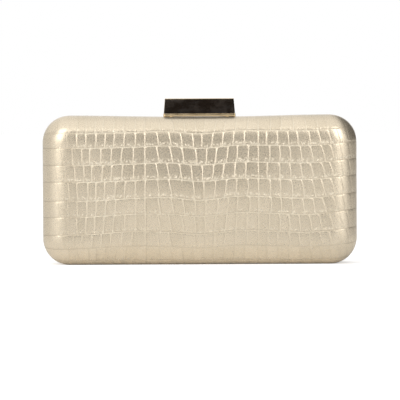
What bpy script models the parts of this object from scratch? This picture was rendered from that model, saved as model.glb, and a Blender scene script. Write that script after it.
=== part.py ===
"""A hard box clutch bag with a bar clasp.

Two moulded half shells, covered in embossed leatherette, meet at a pair of metal rim frames. They are
hinged at the bottom edge. A spring-loaded bar on the top hooks over a strike plate and holds them shut.
"""

import math

import bmesh
import bpy
from mathutils import Matrix, Vector

# Lengths are in metres. X runs along the width, the front faces -Y and Z points up.
# The bag stands on its bottom edge at Z = 0, and its two halves meet in the plane Y = 0.

# Body
BAG_WIDTH = 0.200
BAG_HEIGHT = 0.095
HALF_DEPTH = 0.0225  # from the parting plane to the edge of the panel
PANEL_CROWN = 0.0015  # how far the middle of the panel bulges past its edge
CORNER_RADIUS = 0.017  # the four corners, seen from the front
EDGE_RADIUS = 0.0115  # the soft edge that runs round the panel
TOP_DIP = 0.0012  # the top edge is a little lower in the middle

# Layers of a half shell, from outside to inside
COVER_THICKNESS = 0.0009
SHELL_THICKNESS = 0.0018
LINING_THICKNESS = 0.0010
LAYER_GAP = 0.0003  # glue line or air between two neighbouring pieces

# Rim frames
SEAM_GAP = 0.0003  # between the two closed frames
FRAME_WIDTH = 0.00185  # the bright band of one frame, from front to back
FRAME_STEP = 0.0005  # how far the band lies below the face of the cover
FRAME_BEVEL = 0.0009  # the band's bevel towards the seam, across the wall
FRAME_BEVEL_RUN = 0.00125  # the same bevel, from front to back
SKIRT_THICKNESS = 0.0008
SKIRT_DEPTH = 0.004  # how far the skirt reaches inside the shell
LINING_SETBACK = 0.00085  # from the frame's face to the lining's edge

# Hinges
HINGE_OFFSET = 0.0485  # from the bag's middle to the middle of a hinge
HINGE_LENGTH = 0.0110
BARREL_RADIUS = 0.0013
BARREL_CLEARANCE = 0.0001  # from the barrel to the surface that the bag stands on
KNUCKLE_LENGTH = 0.0036  # the middle one of the three knuckles
KNUCKLE_GAP = 0.0003
HINGE_PIN_RADIUS = 0.0006
PIN_CLEARANCE = 0.00012
HINGE_PIN_HEAD_RADIUS = 0.0010
HINGE_PIN_HEAD_LENGTH = 0.0005
LEAF_THICKNESS = 0.0008
LEAF_REACH = 0.0070  # from the parting plane to the leaf's end
LEAF_ROUNDING = 0.0010
HINGE_RIVET_SPACING = 0.0066
HINGE_RIVET_PLACE = 0.0042  # from the parting plane
HINGE_RIVET_RADIUS = 0.0007
HINGE_RIVET_HEAD_RADIUS = 0.0013
HINGE_RIVET_HEAD_HEIGHT = 0.0004
RIVET_CLEARANCE = 0.00015

# Clasp plates on the top edge
PLATE_MARGIN = 0.0003  # how far each end of a plate stands out past the bar's foot
PLATE_THICKNESS = 0.0017
PLATE_ROUNDING = 0.0008
STRIKE_DEPTH = 0.0062  # from front to back
BASE_DEPTH = 0.0068
PLATE_RIVET_INSET = 0.00505  # from the plate's end to the middle of a rivet
PLATE_RIVET_PLACE = 0.0045  # from the parting plane
PLATE_RIVET_RADIUS = 0.0010
RIVET_SINK = 0.0001  # how far a rivet's end lies below the plate

# Clasp bar
BAR_WIDTH = 0.0455  # at its foot
BAR_TAPER = 0.0008  # each end leans in by this much at the top
BAR_HEIGHT = 0.0093
BAR_FRONT = 0.0060  # from the parting plane to the bar's front
BAR_BACK = 0.0060
BAR_BEVEL = 0.00035
HEEL_RADIUS = 0.0032  # the rounded foot at the back, which rolls as the bar tips
BACK_WALL = 0.0011
FACE_MARGIN = 0.00045  # bright edge left round the dark face
FACE_THICKNESS = 0.0006
FACE_GAP = 0.00015
FACE_BED = 0.0003  # behind the face

# Clasp pin, ears and spring
CLASP_PIN_RADIUS = 0.00075
PIN_SINK = 0.0003  # how far each end of the pin lies inside the bar's end
EAR_RADIUS = 0.0015
EAR_THICKNESS = 0.0015
EAR_INSET = 0.00875  # from the end of the bar's foot to the middle of an ear
EAR_NECK_BACK = 0.0008  # the ear's neck stops here behind the pin, clear of the bar's back wall
POCKET_GAP = 0.0004  # between the bar and what stands in its pockets
SPRING_WIRE_RADIUS = 0.0002
SPRING_MEAN_RADIUS = 0.00115
SPRING_PITCH = 0.0009
SPRING_TO_EAR = 0.00165  # from the last turn to the ear beside it
SPRING_TURNS = 6
SPRING_LEG = 0.0015  # the leg that presses on the bar

# Hook and its strike
HOOK_WIDTH = 0.0080
HOOK_THICKNESS = 0.0008
HOOK_FRONT = 0.0040  # from the parting plane to the hook's front
HOOK_FOOT = 0.0015  # from front to back
HOOK_FOOT_HEIGHT = 0.0008
HOOK_TAIL = 0.0034  # the flange under the bar's roof, from front to back
HOOK_REACH = 0.0008  # how far the nose hangs below the bar
HOOK_POCKET_HEIGHT = 0.0055
HOOK_SCREW_RADIUS = 0.0006
HOOK_SCREW_LENGTH = 0.0018  # in the bar's roof
HOOK_SCREW_HEAD_RADIUS = 0.0011
HOOK_SCREW_HEAD_HEIGHT = 0.0006
STRIKE_FLOOR = 0.0005  # metal left under the strike's pocket
STRIKE_ROOM = 0.0008  # in front of and beside the hook
NOSE_GAP = 0.0003  # between the hook's nose and the strike's lip

# Soft pieces
GUSSET_THICKNESS = 0.0008
GUSSET_REACH = 0.0075  # from the seam to where the gusset is sewn to each lining
GUSSET_FOLD = 0.0070  # how far its fold points into the bag
GUSSET_CLEARANCE = 0.0010  # from the round corners to the gusset's ends
GUSSET_DROP = 0.0090  # how much lower its upper end stops
POCKET_WIDTH = 0.0900
POCKET_HEIGHT = 0.0500
POCKET_THICKNESS = 0.0008
POCKET_ROUNDING = 0.0060
POCKET_FOOT = 0.0120  # height of its lower edge

CUT_OVERRUN = 0.002  # how far a cutter runs past what it cuts
WELD_DISTANCE = 0.00001  # points closer than this are one point

# How finely the curves are divided
CORNER_STEPS = 6
EDGE_STEPS = 5
ROUND_STEPS = 12  # sides of a pin, rivet or bore
HEEL_STEPS = 5
EAR_STEPS = 10
PLATE_CORNER_STEPS = 3
POCKET_CORNER_STEPS = 4
SPRING_STEPS = 10  # in one turn
SHARP_ANGLE = 35  # degrees between two faces, from which their edge is shaded sharp
BEVEL_ANGLE = 50  # degrees, from which an edge of the bar is softened

# Lines that divide the panel, as shares of its straight part on either side of its middle
ACROSS_SHARES = (-0.84, -0.56, -0.28, 0.0, 0.28, 0.56, 0.84)
UPWARD_SHARES = (-0.75, 0.0, 0.75)

# Places that several pieces share
shell_inset = COVER_THICKNESS + LAYER_GAP
skirt_inset = shell_inset + SHELL_THICKNESS + LAYER_GAP
lining_inset = skirt_inset + SKIRT_THICKNESS + LAYER_GAP
wall_inset = lining_inset + LINING_THICKNESS
frame_face = SEAM_GAP / 2
rim_place = frame_face + FRAME_WIDTH + LAYER_GAP
middle_height = BAG_HEIGHT / 2
straight_half_width = BAG_WIDTH / 2 - CORNER_RADIUS
straight_half_height = BAG_HEIGHT / 2 - CORNER_RADIUS
hinge_height = BARREL_CLEARANCE + BARREL_RADIUS
leaf_top = skirt_inset - LAYER_GAP


def top_dip(x):
    """How far the top edge lies below its highest line at this place along the width."""
    share = min(abs(x) / straight_half_width, 1.0)
    return TOP_DIP * (1 - share**2) ** 2


plate_half_width = BAR_WIDTH / 2 + PLATE_MARGIN
plate_rivet_offset = plate_half_width - PLATE_RIVET_INSET
plate_foot = BAG_HEIGHT - top_dip(plate_half_width) + LAYER_GAP
plate_top = plate_foot + PLATE_THICKNESS
bar_foot = plate_top + LAYER_GAP
bar_top = bar_foot + BAR_HEIGHT
clasp_pin_place = BAR_BACK - HEEL_RADIUS
clasp_pin_height = bar_foot + HEEL_RADIUS
ear_offset = BAR_WIDTH / 2 - EAR_INSET
spring_end = ear_offset - EAR_THICKNESS / 2 - SPRING_TO_EAR
spring_start = spring_end - SPRING_PITCH * SPRING_TURNS

# Finishes: colour, roughness and metallic value
LEATHERETTE = ("leatherette", (0.62, 0.53, 0.40), 0.38, 0.55)
MOULDED = ("moulded_shell", (0.18, 0.16, 0.14), 0.60, 0.0)
GOLD = ("gold_metal", (0.83, 0.62, 0.36), 0.18, 1.0)
DARK_FACE = ("dark_face", (0.016, 0.013, 0.011), 0.08, 0.0)
SATIN = ("lining_satin", (0.47, 0.38, 0.28), 0.45, 0.0)
STEEL = ("spring_steel", (0.55, 0.55, 0.56), 0.30, 1.0)

# Stands up an outline that is drawn backwards and upwards, with its thickness along the bag's width
UPRIGHT = Matrix(((0, 0, 1, 0), (1, 0, 0, 0), (0, 1, 0, 0), (0, 0, 0, 1)))


def make_collection(name):
    collection = bpy.data.collections.new(name)
    bpy.context.scene.collection.children.link(collection)
    return collection


def make_object(name, data, collection):
    made = bpy.data.objects.new(name, data)
    collection.objects.link(made)
    return made


def mesh_from(bm, name):
    bmesh.ops.recalc_face_normals(bm, faces=bm.faces)
    mesh = bpy.data.meshes.new(name)
    bm.to_mesh(mesh)
    bm.free()
    return mesh


def finish_part(part, finish, body):
    """Gives a piece its material, smooth shading and the empty that it moves with."""
    name, colour, roughness, metallic = finish
    material = bpy.data.materials.new(f"{part.name}_{name}")
    material.use_nodes = True
    shader = material.node_tree.nodes["Principled BSDF"]
    shader.inputs["Base Color"].default_value = (*colour, 1.0)
    shader.inputs["Roughness"].default_value = roughness
    shader.inputs["Metallic"].default_value = metallic
    part.data.materials.clear()
    part.data.materials.append(material)
    if part.type == "MESH":
        part.data.shade_smooth()
        part.data.set_sharp_from_angle(angle=math.radians(SHARP_ANGLE))
    part.parent = body
    part.matrix_parent_inverse = body.matrix_world.inverted()
    return part


def box_mesh(name, low, high):
    """A block between two corners."""
    low = Vector(low)
    high = Vector(high)
    bm = bmesh.new()
    bmesh.ops.create_cube(bm, size=1)
    bmesh.ops.scale(bm, vec=high - low, verts=bm.verts)
    bmesh.ops.translate(bm, vec=(low + high) / 2, verts=bm.verts)
    return mesh_from(bm, name)


def rod_mesh(name, radius, start, end):
    """A round bar from one point to another."""
    start = Vector(start)
    end = Vector(end)
    bm = bmesh.new()
    bmesh.ops.create_cone(
        bm,
        cap_ends=True,
        segments=ROUND_STEPS,
        radius1=radius,
        radius2=radius,
        depth=(end - start).length,
    )
    turn = (end - start).to_track_quat("Z", "X").to_matrix()
    bmesh.ops.rotate(bm, matrix=turn, verts=bm.verts)
    bmesh.ops.translate(bm, vec=(start + end) / 2, verts=bm.verts)
    return mesh_from(bm, name)


def add_cutter(mesh):
    """A shape that cuts or joins others and isn't a piece of the bag."""
    cutter = make_object(mesh.name, mesh, cutters)
    cutter.hide_render = True
    cutter.display_type = "WIRE"
    return cutter


def combine(part, mesh, operation):
    """Adds or cuts away a shape with a live Boolean."""
    step = part.modifiers.new(mesh.name, "BOOLEAN")
    step.operation = operation
    step.solver = "EXACT"
    step.object = add_cutter(mesh)


def cut(part, mesh):
    combine(part, mesh, "DIFFERENCE")


def join(part, mesh):
    combine(part, mesh, "UNION")


def mesh_of_curve(curve_object, name):
    """The curve's own solid as a plain mesh in world space. The curve is removed."""
    bpy.context.view_layer.update()
    graph = bpy.context.evaluated_depsgraph_get()
    mesh = bpy.data.meshes.new_from_object(curve_object.evaluated_get(graph))
    mesh.name = name
    mesh.transform(curve_object.matrix_world)
    bpy.data.objects.remove(curve_object)
    bm = bmesh.new()
    bm.from_mesh(mesh)
    bmesh.ops.remove_doubles(bm, verts=bm.verts, dist=WELD_DISTANCE)
    bmesh.ops.recalc_face_normals(bm, faces=bm.faces)
    bm.to_mesh(mesh)
    bm.free()
    return mesh


def add_poly_spline(curve, points, cyclic):
    spline = curve.splines.new("POLY")
    spline.points.add(len(points) - 1)
    for slot, point in zip(spline.points, points):
        slot.co = (*point, 1.0)
    spline.use_cyclic_u = cyclic


def slab_mesh(name, points, thickness, placing):
    """A flat outline with a thickness. The outline lies in its own XY plane, centred in its thickness,
    and placing takes it to where it belongs."""
    curve = bpy.data.curves.new(name, "CURVE")
    curve.dimensions = "2D"
    curve.fill_mode = "BOTH"
    curve.extrude = thickness / 2
    add_poly_spline(curve, [(x, y, 0.0) for x, y in points], cyclic=True)
    slab = make_object(name, curve, cutters)
    slab.matrix_world = placing
    return mesh_of_curve(slab, name)


def arc(centre, radius, start_degrees, end_degrees, steps):
    """Points on a round stretch of an outline."""
    points = []
    for step in range(steps + 1):
        angle = math.radians(start_degrees + (end_degrees - start_degrees) * step / steps)
        points.append((centre[0] + radius * math.cos(angle), centre[1] + radius * math.sin(angle)))
    return points


def rounded_rectangle(low, high, radius, steps):
    """Outline of a rectangle with round corners, anticlockwise from its lower right corner."""
    corners = (
        (high[0] - radius, low[1] + radius, -90),
        (high[0] - radius, high[1] - radius, 0),
        (low[0] + radius, high[1] - radius, 90),
        (low[0] + radius, low[1] + radius, 180),
    )
    points = []
    for x, y, start in corners:
        points += arc((x, y), radius, start, start + 90, steps)
    return points


def turned_part(name, profile, placing):
    """A turned piece. Its profile is a list of (radius, height) from the top of its axis to the foot."""
    bm = bmesh.new()
    ring = [bm.verts.new((radius, 0.0, height)) for radius, height in profile]
    for upper, lower in zip(ring, ring[1:]):
        bm.edges.new((upper, lower))
    mesh = bpy.data.meshes.new(name)
    bm.to_mesh(mesh)
    bm.free()
    part = make_object(name, mesh, parts)
    part.matrix_world = placing
    turn = part.modifiers.new("turn", "SCREW")
    turn.axis = "Z"
    turn.steps = ROUND_STEPS
    turn.render_steps = ROUND_STEPS
    turn.use_merge_vertices = True
    turn.merge_threshold = WELD_DISTANCE
    turn.use_smooth_shade = False
    return part


def half_name(side):
    return "front" if side < 0 else "rear"


def hand_name(hand):
    return "left" if hand < 0 else "right"


def facing(side):
    """Turns a piece of the front half round to the back, for the rear half."""
    return Matrix.Identity(4) if side < 0 else Matrix.Rotation(math.pi, 4, "Z")


def beside_seam(side, height):
    """Places a flat outline at a height. It is drawn for the rear half and mirrored for the front."""
    return Matrix.Translation((0.0, 0.0, height)) @ Matrix.Diagonal((1.0, side, 1.0, 1.0))


# Half shells

def panel_bulge(x, z):
    """How far the panel stands out at a place on it, from nothing at its edge to the full crown."""
    across = x / (BAG_WIDTH / 2 - EDGE_RADIUS)
    upward = (z - middle_height) / (BAG_HEIGHT / 2 - EDGE_RADIUS)
    return PANEL_CROWN * max(0.0, 1 - across**2) * max(0.0, 1 - upward**2)


def cut_lines(bm):
    """Divides a tray along straight lines, so that its panel can bulge and its top edge can dip."""
    planes = []
    for share in ACROSS_SHARES:
        planes.append(((share * straight_half_width, 0.0, 0.0), (1.0, 0.0, 0.0)))
    for share in UPWARD_SHARES:
        planes.append(((0.0, 0.0, middle_height + share * straight_half_height), (0.0, 0.0, 1.0)))
    for place, normal in planes:
        everything = bm.verts[:] + bm.edges[:] + bm.faces[:]
        bmesh.ops.bisect_plane(bm, geom=everything, plane_co=place, plane_no=normal, dist=WELD_DISTANCE)


def tray(name, inset, rim, thickness, side):
    """One layer of a half shell: a rounded tray that is open towards the seam.

    inset is how far its outer face lies inside the cover's, and rim how far it stops from the seam."""
    front = HALF_DEPTH - inset
    bm = bmesh.new()
    bmesh.ops.create_cube(bm, size=1)
    size = (BAG_WIDTH - 2 * inset, front - rim, BAG_HEIGHT - 2 * inset)
    bmesh.ops.scale(bm, vec=size, verts=bm.verts)
    bmesh.ops.translate(bm, vec=(0.0, -(front + rim) / 2, middle_height), verts=bm.verts)

    def along_depth(edge):
        return abs(edge.verts[0].co.y - edge.verts[1].co.y) > WELD_DISTANCE

    def at_depth(element, depth):
        return all(abs(vert.co.y + depth) < WELD_DISTANCE for vert in element.verts)

    bmesh.ops.bevel(
        bm,
        geom=[edge for edge in bm.edges if along_depth(edge)],
        offset=CORNER_RADIUS - inset,
        segments=CORNER_STEPS,
        profile=0.5,
        affect="EDGES",
    )
    bmesh.ops.bevel(
        bm,
        geom=[edge for edge in bm.edges if at_depth(edge, front)],
        offset=EDGE_RADIUS - inset,
        segments=EDGE_STEPS,
        profile=0.5,
        affect="EDGES",
    )
    rim_faces = [face for face in bm.faces if at_depth(face, rim)]
    bmesh.ops.delete(bm, geom=rim_faces, context="FACES_ONLY")
    cut_lines(bm)
    for vert in bm.verts:
        if abs(vert.co.y + front) < WELD_DISTANCE:
            vert.co.y -= panel_bulge(vert.co.x, vert.co.z)
        height_share = max(0.0, (vert.co.z - middle_height) / (BAG_HEIGHT / 2))
        vert.co.z -= top_dip(vert.co.x) * height_share
    bmesh.ops.transform(bm, matrix=facing(side), verts=bm.verts)
    part = make_object(name, mesh_from(bm, name), parts)
    wall = part.modifiers.new("wall", "SOLIDIFY")
    wall.thickness = thickness
    wall.offset = -1.0
    wall.use_even_offset = True
    wall.use_rim = True
    return part


def drill_plate_rivets(part, side):
    """Holes for the two rivets that hold a clasp plate."""
    for sign in (-1, 1):
        x = sign * plate_rivet_offset
        y = side * PLATE_RIVET_PLACE
        radius = PLATE_RIVET_RADIUS + RIVET_CLEARANCE
        low = (x, y, BAG_HEIGHT - skirt_inset - CUT_OVERRUN)
        high = (x, y, plate_top + CUT_OVERRUN)
        cut(part, rod_mesh(f"{part.name}_plate_rivet_hole", radius, low, high))


def add_cover(side, body):
    part = tray(f"{half_name(side)}_cover", 0.0, rim_place, COVER_THICKNESS, side)
    drill_plate_rivets(part, side)
    return finish_part(part, LEATHERETTE, body)


def add_shell(side, body):
    """The moulded shell under the cover. Slots in its rim hold the hinge leaves."""
    part = tray(f"{half_name(side)}_shell", shell_inset, rim_place, SHELL_THICKNESS, side)
    drill_plate_rivets(part, side)
    for hand in (-1, 1):
        half_slot = HINGE_LENGTH / 2 + LAYER_GAP
        x = hand * HINGE_OFFSET
        slot_end = side * (LEAF_REACH + LAYER_GAP)
        slot_start = side * (rim_place - CUT_OVERRUN)
        low = (x - half_slot, min(slot_end, slot_start), shell_inset - CUT_OVERRUN)
        high = (x + half_slot, max(slot_end, slot_start), skirt_inset + CUT_OVERRUN)
        cut(part, box_mesh(f"{part.name}_leaf_slot", low, high))
    return finish_part(part, MOULDED, body)


def add_lining(side, body):
    rim = frame_face + LINING_SETBACK
    part = tray(f"{half_name(side)}_lining", lining_inset, rim, LINING_THICKNESS, side)
    return finish_part(part, SATIN, body)


# Rim frames

def frame_path():
    """The rim's outline in the seam plane, anticlockwise seen from the front."""
    low = (-BAG_WIDTH / 2 + FRAME_STEP, FRAME_STEP)
    high = (BAG_WIDTH / 2 - FRAME_STEP, BAG_HEIGHT - FRAME_STEP)
    corners = rounded_rectangle(low, high, CORNER_RADIUS - FRAME_STEP, CORNER_STEPS)
    upper_right_end = 2 * (CORNER_STEPS + 1)
    top = [(share * straight_half_width, high[1]) for share in reversed(ACROSS_SHARES)]
    points = corners[:upper_right_end] + top + corners[upper_right_end:]
    dipped = []
    for x, z in points:
        height_share = max(0.0, (z - middle_height) / (BAG_HEIGHT / 2))
        dipped.append((x, z - top_dip(x) * height_share))
    return dipped


def frame_profile():
    """The frame's section: across the wall inwards, and from the seam to the back."""
    outer = 0.0
    inner = skirt_inset + SKIRT_THICKNESS - FRAME_STEP
    skirt_outer = skirt_inset - FRAME_STEP
    band_end = frame_face + FRAME_WIDTH
    return [
        (outer + FRAME_BEVEL, frame_face),
        (outer, frame_face + FRAME_BEVEL_RUN),
        (outer, band_end),
        (skirt_outer, band_end),
        (skirt_outer, band_end + SKIRT_DEPTH),
        (inner, band_end + SKIRT_DEPTH),
        (inner, frame_face),
    ]


def add_frame(side, body):
    """The metal hoop round the rim: a bevelled band with a skirt inside the shell."""
    name = f"{half_name(side)}_frame"
    profile = bpy.data.curves.new(f"{name}_profile", "CURVE")
    profile.dimensions = "2D"
    add_poly_spline(profile, [(-across, depth, 0.0) for across, depth in frame_profile()], cyclic=True)
    profile_object = make_object(profile.name, profile, cutters)
    rail = bpy.data.curves.new(name, "CURVE")
    rail.dimensions = "3D"
    rail.twist_mode = "Z_UP"
    rail.bevel_mode = "OBJECT"
    rail.bevel_object = profile_object
    add_poly_spline(rail, [(x, z, 0.0) for x, z in frame_path()], cyclic=True)
    rail_object = make_object(name, rail, cutters)
    rail_object.matrix_world = facing(side) @ Matrix.Rotation(math.pi / 2, 4, "X")
    part = make_object(name, mesh_of_curve(rail_object, name), parts)
    bpy.data.objects.remove(profile_object)
    for hand in (-1, 1):
        cut_hinge_room(part, side, hand)
    return finish_part(part, GOLD, body)


def cut_hinge_room(frame, side, hand):
    """Takes the band away where a hinge stands, and drills the skirt for the leaf's rivets."""
    x = hand * HINGE_OFFSET
    half_room = HINGE_LENGTH / 2 + HINGE_PIN_HEAD_LENGTH + 2 * LAYER_GAP
    low = (x - half_room, -rim_place, -CUT_OVERRUN)
    high = (x + half_room, rim_place, leaf_top)
    cut(frame, box_mesh(f"{frame.name}_hinge_room", low, high))
    for sign in (-1, 1):
        place = (x + sign * HINGE_RIVET_SPACING / 2, side * HINGE_RIVET_PLACE)
        radius = HINGE_RIVET_RADIUS + RIVET_CLEARANCE
        low = (*place, skirt_inset - CUT_OVERRUN)
        high = (*place, lining_inset + CUT_OVERRUN)
        cut(frame, rod_mesh(f"{frame.name}_rivet_hole", radius, low, high))


# Hinges

def add_hinge_leaf(side, hand, body):
    """A plate let into the shell, with its knuckles rolled at the seam.

    The rear leaf has the two outer knuckles and the front leaf the middle one."""
    name = f"hinge_leaf_{half_name(side)}_{hand_name(hand)}"
    x = hand * HINGE_OFFSET
    half_length = HINGE_LENGTH / 2
    plate_start = BARREL_RADIUS + 2 * LAYER_GAP
    low = (x - half_length, plate_start)
    high = (x + half_length, LEAF_REACH)
    outline = rounded_rectangle(low, high, LEAF_ROUNDING, PLATE_CORNER_STEPS)
    placing = beside_seam(side, leaf_top - LEAF_THICKNESS / 2)
    part = make_object(name, slab_mesh(name, outline, LEAF_THICKNESS, placing), parts)
    if side < 0:
        spans = [(-KNUCKLE_LENGTH / 2, KNUCKLE_LENGTH / 2)]
    else:
        inner_end = KNUCKLE_LENGTH / 2 + KNUCKLE_GAP
        spans = [(-half_length, -inner_end), (inner_end, half_length)]
    for start, end in spans:
        finger_end = side * (plate_start + LEAF_ROUNDING + LAYER_GAP)
        low = (x + start, min(0.0, finger_end), leaf_top - LEAF_THICKNESS)
        high = (x + end, max(0.0, finger_end), leaf_top)
        join(part, box_mesh(f"{name}_finger", low, high))
        axis_start = (x + start, 0.0, hinge_height)
        axis_end = (x + end, 0.0, hinge_height)
        join(part, rod_mesh(f"{name}_knuckle", BARREL_RADIUS, axis_start, axis_end))
    bore_start = (x - half_length - CUT_OVERRUN, 0.0, hinge_height)
    bore_end = (x + half_length + CUT_OVERRUN, 0.0, hinge_height)
    cut(part, rod_mesh(f"{name}_bore", HINGE_PIN_RADIUS + PIN_CLEARANCE, bore_start, bore_end))
    for sign in (-1, 1):
        place = (x + sign * HINGE_RIVET_SPACING / 2, side * HINGE_RIVET_PLACE)
        radius = HINGE_RIVET_RADIUS + RIVET_CLEARANCE
        low = (*place, leaf_top - LEAF_THICKNESS - CUT_OVERRUN)
        high = (*place, leaf_top + CUT_OVERRUN)
        cut(part, rod_mesh(f"{name}_rivet_hole", radius, low, high))
    return finish_part(part, GOLD, body)


def add_hinge_pin(hand, body):
    """A pin through the three knuckles, with a small head at each end."""
    shaft = HINGE_LENGTH / 2 + LAYER_GAP
    end = shaft + HINGE_PIN_HEAD_LENGTH
    profile = [
        (0.0, end),
        (HINGE_PIN_HEAD_RADIUS, end),
        (HINGE_PIN_HEAD_RADIUS, shaft),
        (HINGE_PIN_RADIUS, shaft),
        (HINGE_PIN_RADIUS, -shaft),
        (HINGE_PIN_HEAD_RADIUS, -shaft),
        (HINGE_PIN_HEAD_RADIUS, -end),
        (0.0, -end),
    ]
    place = Matrix.Translation((hand * HINGE_OFFSET, 0.0, hinge_height))
    pin = turned_part(f"hinge_pin_{hand_name(hand)}", profile, place @ Matrix.Rotation(math.pi / 2, 4, "Y"))
    return finish_part(pin, GOLD, body)


def add_hinge_rivets(side, hand, body):
    """Rivets from under a hinge leaf up through the frame's skirt."""
    foot = leaf_top - LEAF_THICKNESS - LAYER_GAP - HINGE_RIVET_HEAD_HEIGHT
    neck = foot + HINGE_RIVET_HEAD_HEIGHT
    top = skirt_inset + SKIRT_THICKNESS
    profile = [
        (0.0, top),
        (HINGE_RIVET_RADIUS, top),
        (HINGE_RIVET_RADIUS, neck),
        (HINGE_RIVET_HEAD_RADIUS, neck),
        (HINGE_RIVET_HEAD_RADIUS, foot),
        (0.0, foot),
    ]
    for sign, rank in ((-1, 1), (1, 2)):
        x = hand * HINGE_OFFSET + sign * HINGE_RIVET_SPACING / 2
        place = Matrix.Translation((x, side * HINGE_RIVET_PLACE, 0.0))
        name = f"hinge_rivet_{half_name(side)}_{hand_name(hand)}_{rank}"
        finish_part(turned_part(name, profile, place), GOLD, body)


# Clasp plates

def add_plate_rivets(side, body):
    """Rivets that hold a clasp plate down through the cover and the shell."""
    name = "strike_rivet" if side < 0 else "clasp_base_rivet"
    top = plate_top - RIVET_SINK
    for sign in (-1, 1):
        x = sign * plate_rivet_offset
        foot = BAG_HEIGHT - top_dip(x) - shell_inset - SHELL_THICKNESS
        profile = [
            (0.0, top),
            (PLATE_RIVET_RADIUS, top),
            (PLATE_RIVET_RADIUS, foot),
            (0.0, foot),
        ]
        place = Matrix.Translation((x, side * PLATE_RIVET_PLACE, 0.0))
        finish_part(turned_part(f"{name}_{hand_name(sign)}", profile, place), GOLD, body)


def plate_solid(name, side, depth):
    """A flat plate beside the seam, on top of the bag."""
    low = (-plate_half_width, LAYER_GAP)
    high = (plate_half_width, depth)
    outline = rounded_rectangle(low, high, PLATE_ROUNDING, PLATE_CORNER_STEPS)
    placing = beside_seam(side, (plate_foot + plate_top) / 2)
    return make_object(name, slab_mesh(name, outline, PLATE_THICKNESS, placing), parts)


def add_strike_plate(body):
    """The plate that the hook reaches into: a pocket with a low lip at the back."""
    part = plate_solid("strike_plate", -1, STRIKE_DEPTH)
    drill_plate_rivets(part, -1)
    half_pocket = HOOK_WIDTH / 2 + STRIKE_ROOM
    pocket_front = -HOOK_FRONT - STRIKE_ROOM
    lip_front = -HOOK_FRONT + HOOK_FOOT + LAYER_GAP
    lip_top = bar_foot - HOOK_REACH - NOSE_GAP
    low = (-half_pocket, pocket_front, plate_foot + STRIKE_FLOOR)
    high = (half_pocket, lip_front, plate_top + CUT_OVERRUN)
    cut(part, box_mesh("strike_plate_pocket", low, high))
    low = (-half_pocket, lip_front - LAYER_GAP, lip_top)
    high = (half_pocket, CUT_OVERRUN, plate_top + CUT_OVERRUN)
    cut(part, box_mesh("strike_plate_lip_room", low, high))
    return finish_part(part, GOLD, body)


def add_clasp_base(body):
    """The plate that carries the bar, with an ear at each end of the mechanism."""
    part = plate_solid("clasp_base", 1, BASE_DEPTH)
    drill_plate_rivets(part, 1)
    neck_foot = plate_top - PLATE_THICKNESS / 2
    front = clasp_pin_place - EAR_RADIUS
    back = clasp_pin_place + EAR_NECK_BACK
    shoulder_angle = -math.degrees(math.acos(min(EAR_NECK_BACK / EAR_RADIUS, 1.0)))
    outline = [(front, neck_foot), (back, neck_foot)]
    outline += arc((clasp_pin_place, clasp_pin_height), EAR_RADIUS, shoulder_angle, 180, EAR_STEPS)
    for sign in (-1, 1):
        placing = Matrix.Translation((sign * ear_offset, 0.0, 0.0)) @ UPRIGHT
        join(part, slab_mesh("clasp_base_ear", outline, EAR_THICKNESS, placing))
    reach = ear_offset + EAR_THICKNESS / 2 + CUT_OVERRUN
    start = (-reach, clasp_pin_place, clasp_pin_height)
    end = (reach, clasp_pin_place, clasp_pin_height)
    cut(part, rod_mesh("clasp_base_bore", CLASP_PIN_RADIUS + PIN_CLEARANCE, start, end))
    return finish_part(part, GOLD, body)


def add_clasp_pin(body):
    end = bar_half_width(clasp_pin_height) - PIN_SINK
    profile = [
        (0.0, end),
        (CLASP_PIN_RADIUS, end),
        (CLASP_PIN_RADIUS, -end),
        (0.0, -end),
    ]
    place = Matrix.Translation((0.0, clasp_pin_place, clasp_pin_height))
    pin = turned_part("clasp_pin", profile, place @ Matrix.Rotation(math.pi / 2, 4, "Y"))
    return finish_part(pin, GOLD, body)


def least_gap(points, wire_radius, steps_apart):
    """The smallest gap between stretches of a wire whose points are at least some steps apart."""
    nearest = math.inf
    for rank, point in enumerate(points):
        for other in points[rank + steps_apart:]:
            nearest = min(nearest, (Vector(point) - Vector(other)).length)
    return nearest - 2 * wire_radius


def add_clasp_spring(body):
    """A torsion spring round the pin. One leg stands on the base and the other presses the bar."""
    leg_foot = plate_top - clasp_pin_height + LAYER_GAP + SPRING_WIRE_RADIUS
    points = [(spring_start, -SPRING_MEAN_RADIUS, leg_foot)]
    for step in range(SPRING_TURNS * SPRING_STEPS + 1):
        turn = step / SPRING_STEPS
        angle = math.pi - 2 * math.pi * turn
        y = SPRING_MEAN_RADIUS * math.cos(angle)
        z = SPRING_MEAN_RADIUS * math.sin(angle)
        points.append((spring_start + SPRING_PITCH * turn, y, z))
    points.append((spring_end, -SPRING_MEAN_RADIUS, SPRING_LEG))
    gap = least_gap(points, SPRING_WIRE_RADIUS, SPRING_STEPS // 2)
    print(f"clasp spring, least gap to itself: {gap:.6f} m")
    curve = bpy.data.curves.new("clasp_spring", "CURVE")
    curve.dimensions = "3D"
    curve.bevel_depth = SPRING_WIRE_RADIUS
    curve.bevel_resolution = 1
    curve.use_fill_caps = True
    add_poly_spline(curve, points, cyclic=False)
    part = make_object("clasp_spring", curve, parts)
    part.matrix_world = Matrix.Translation((0.0, clasp_pin_place, clasp_pin_height))
    return finish_part(part, STEEL, body)


# Clasp lever

def bar_half_width(height):
    """Half the bar's width at a height, because its ends lean in."""
    share = (height - bar_foot) / BAR_HEIGHT
    return BAR_WIDTH / 2 - BAR_TAPER * share


def lean_ends(mesh):
    """Draws in the ends of a shape that was cut off square."""
    for vert in mesh.vertices:
        share = (vert.co.z - bar_foot) / BAR_HEIGHT
        vert.co.x -= math.copysign(BAR_TAPER * share, vert.co.x)


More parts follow.
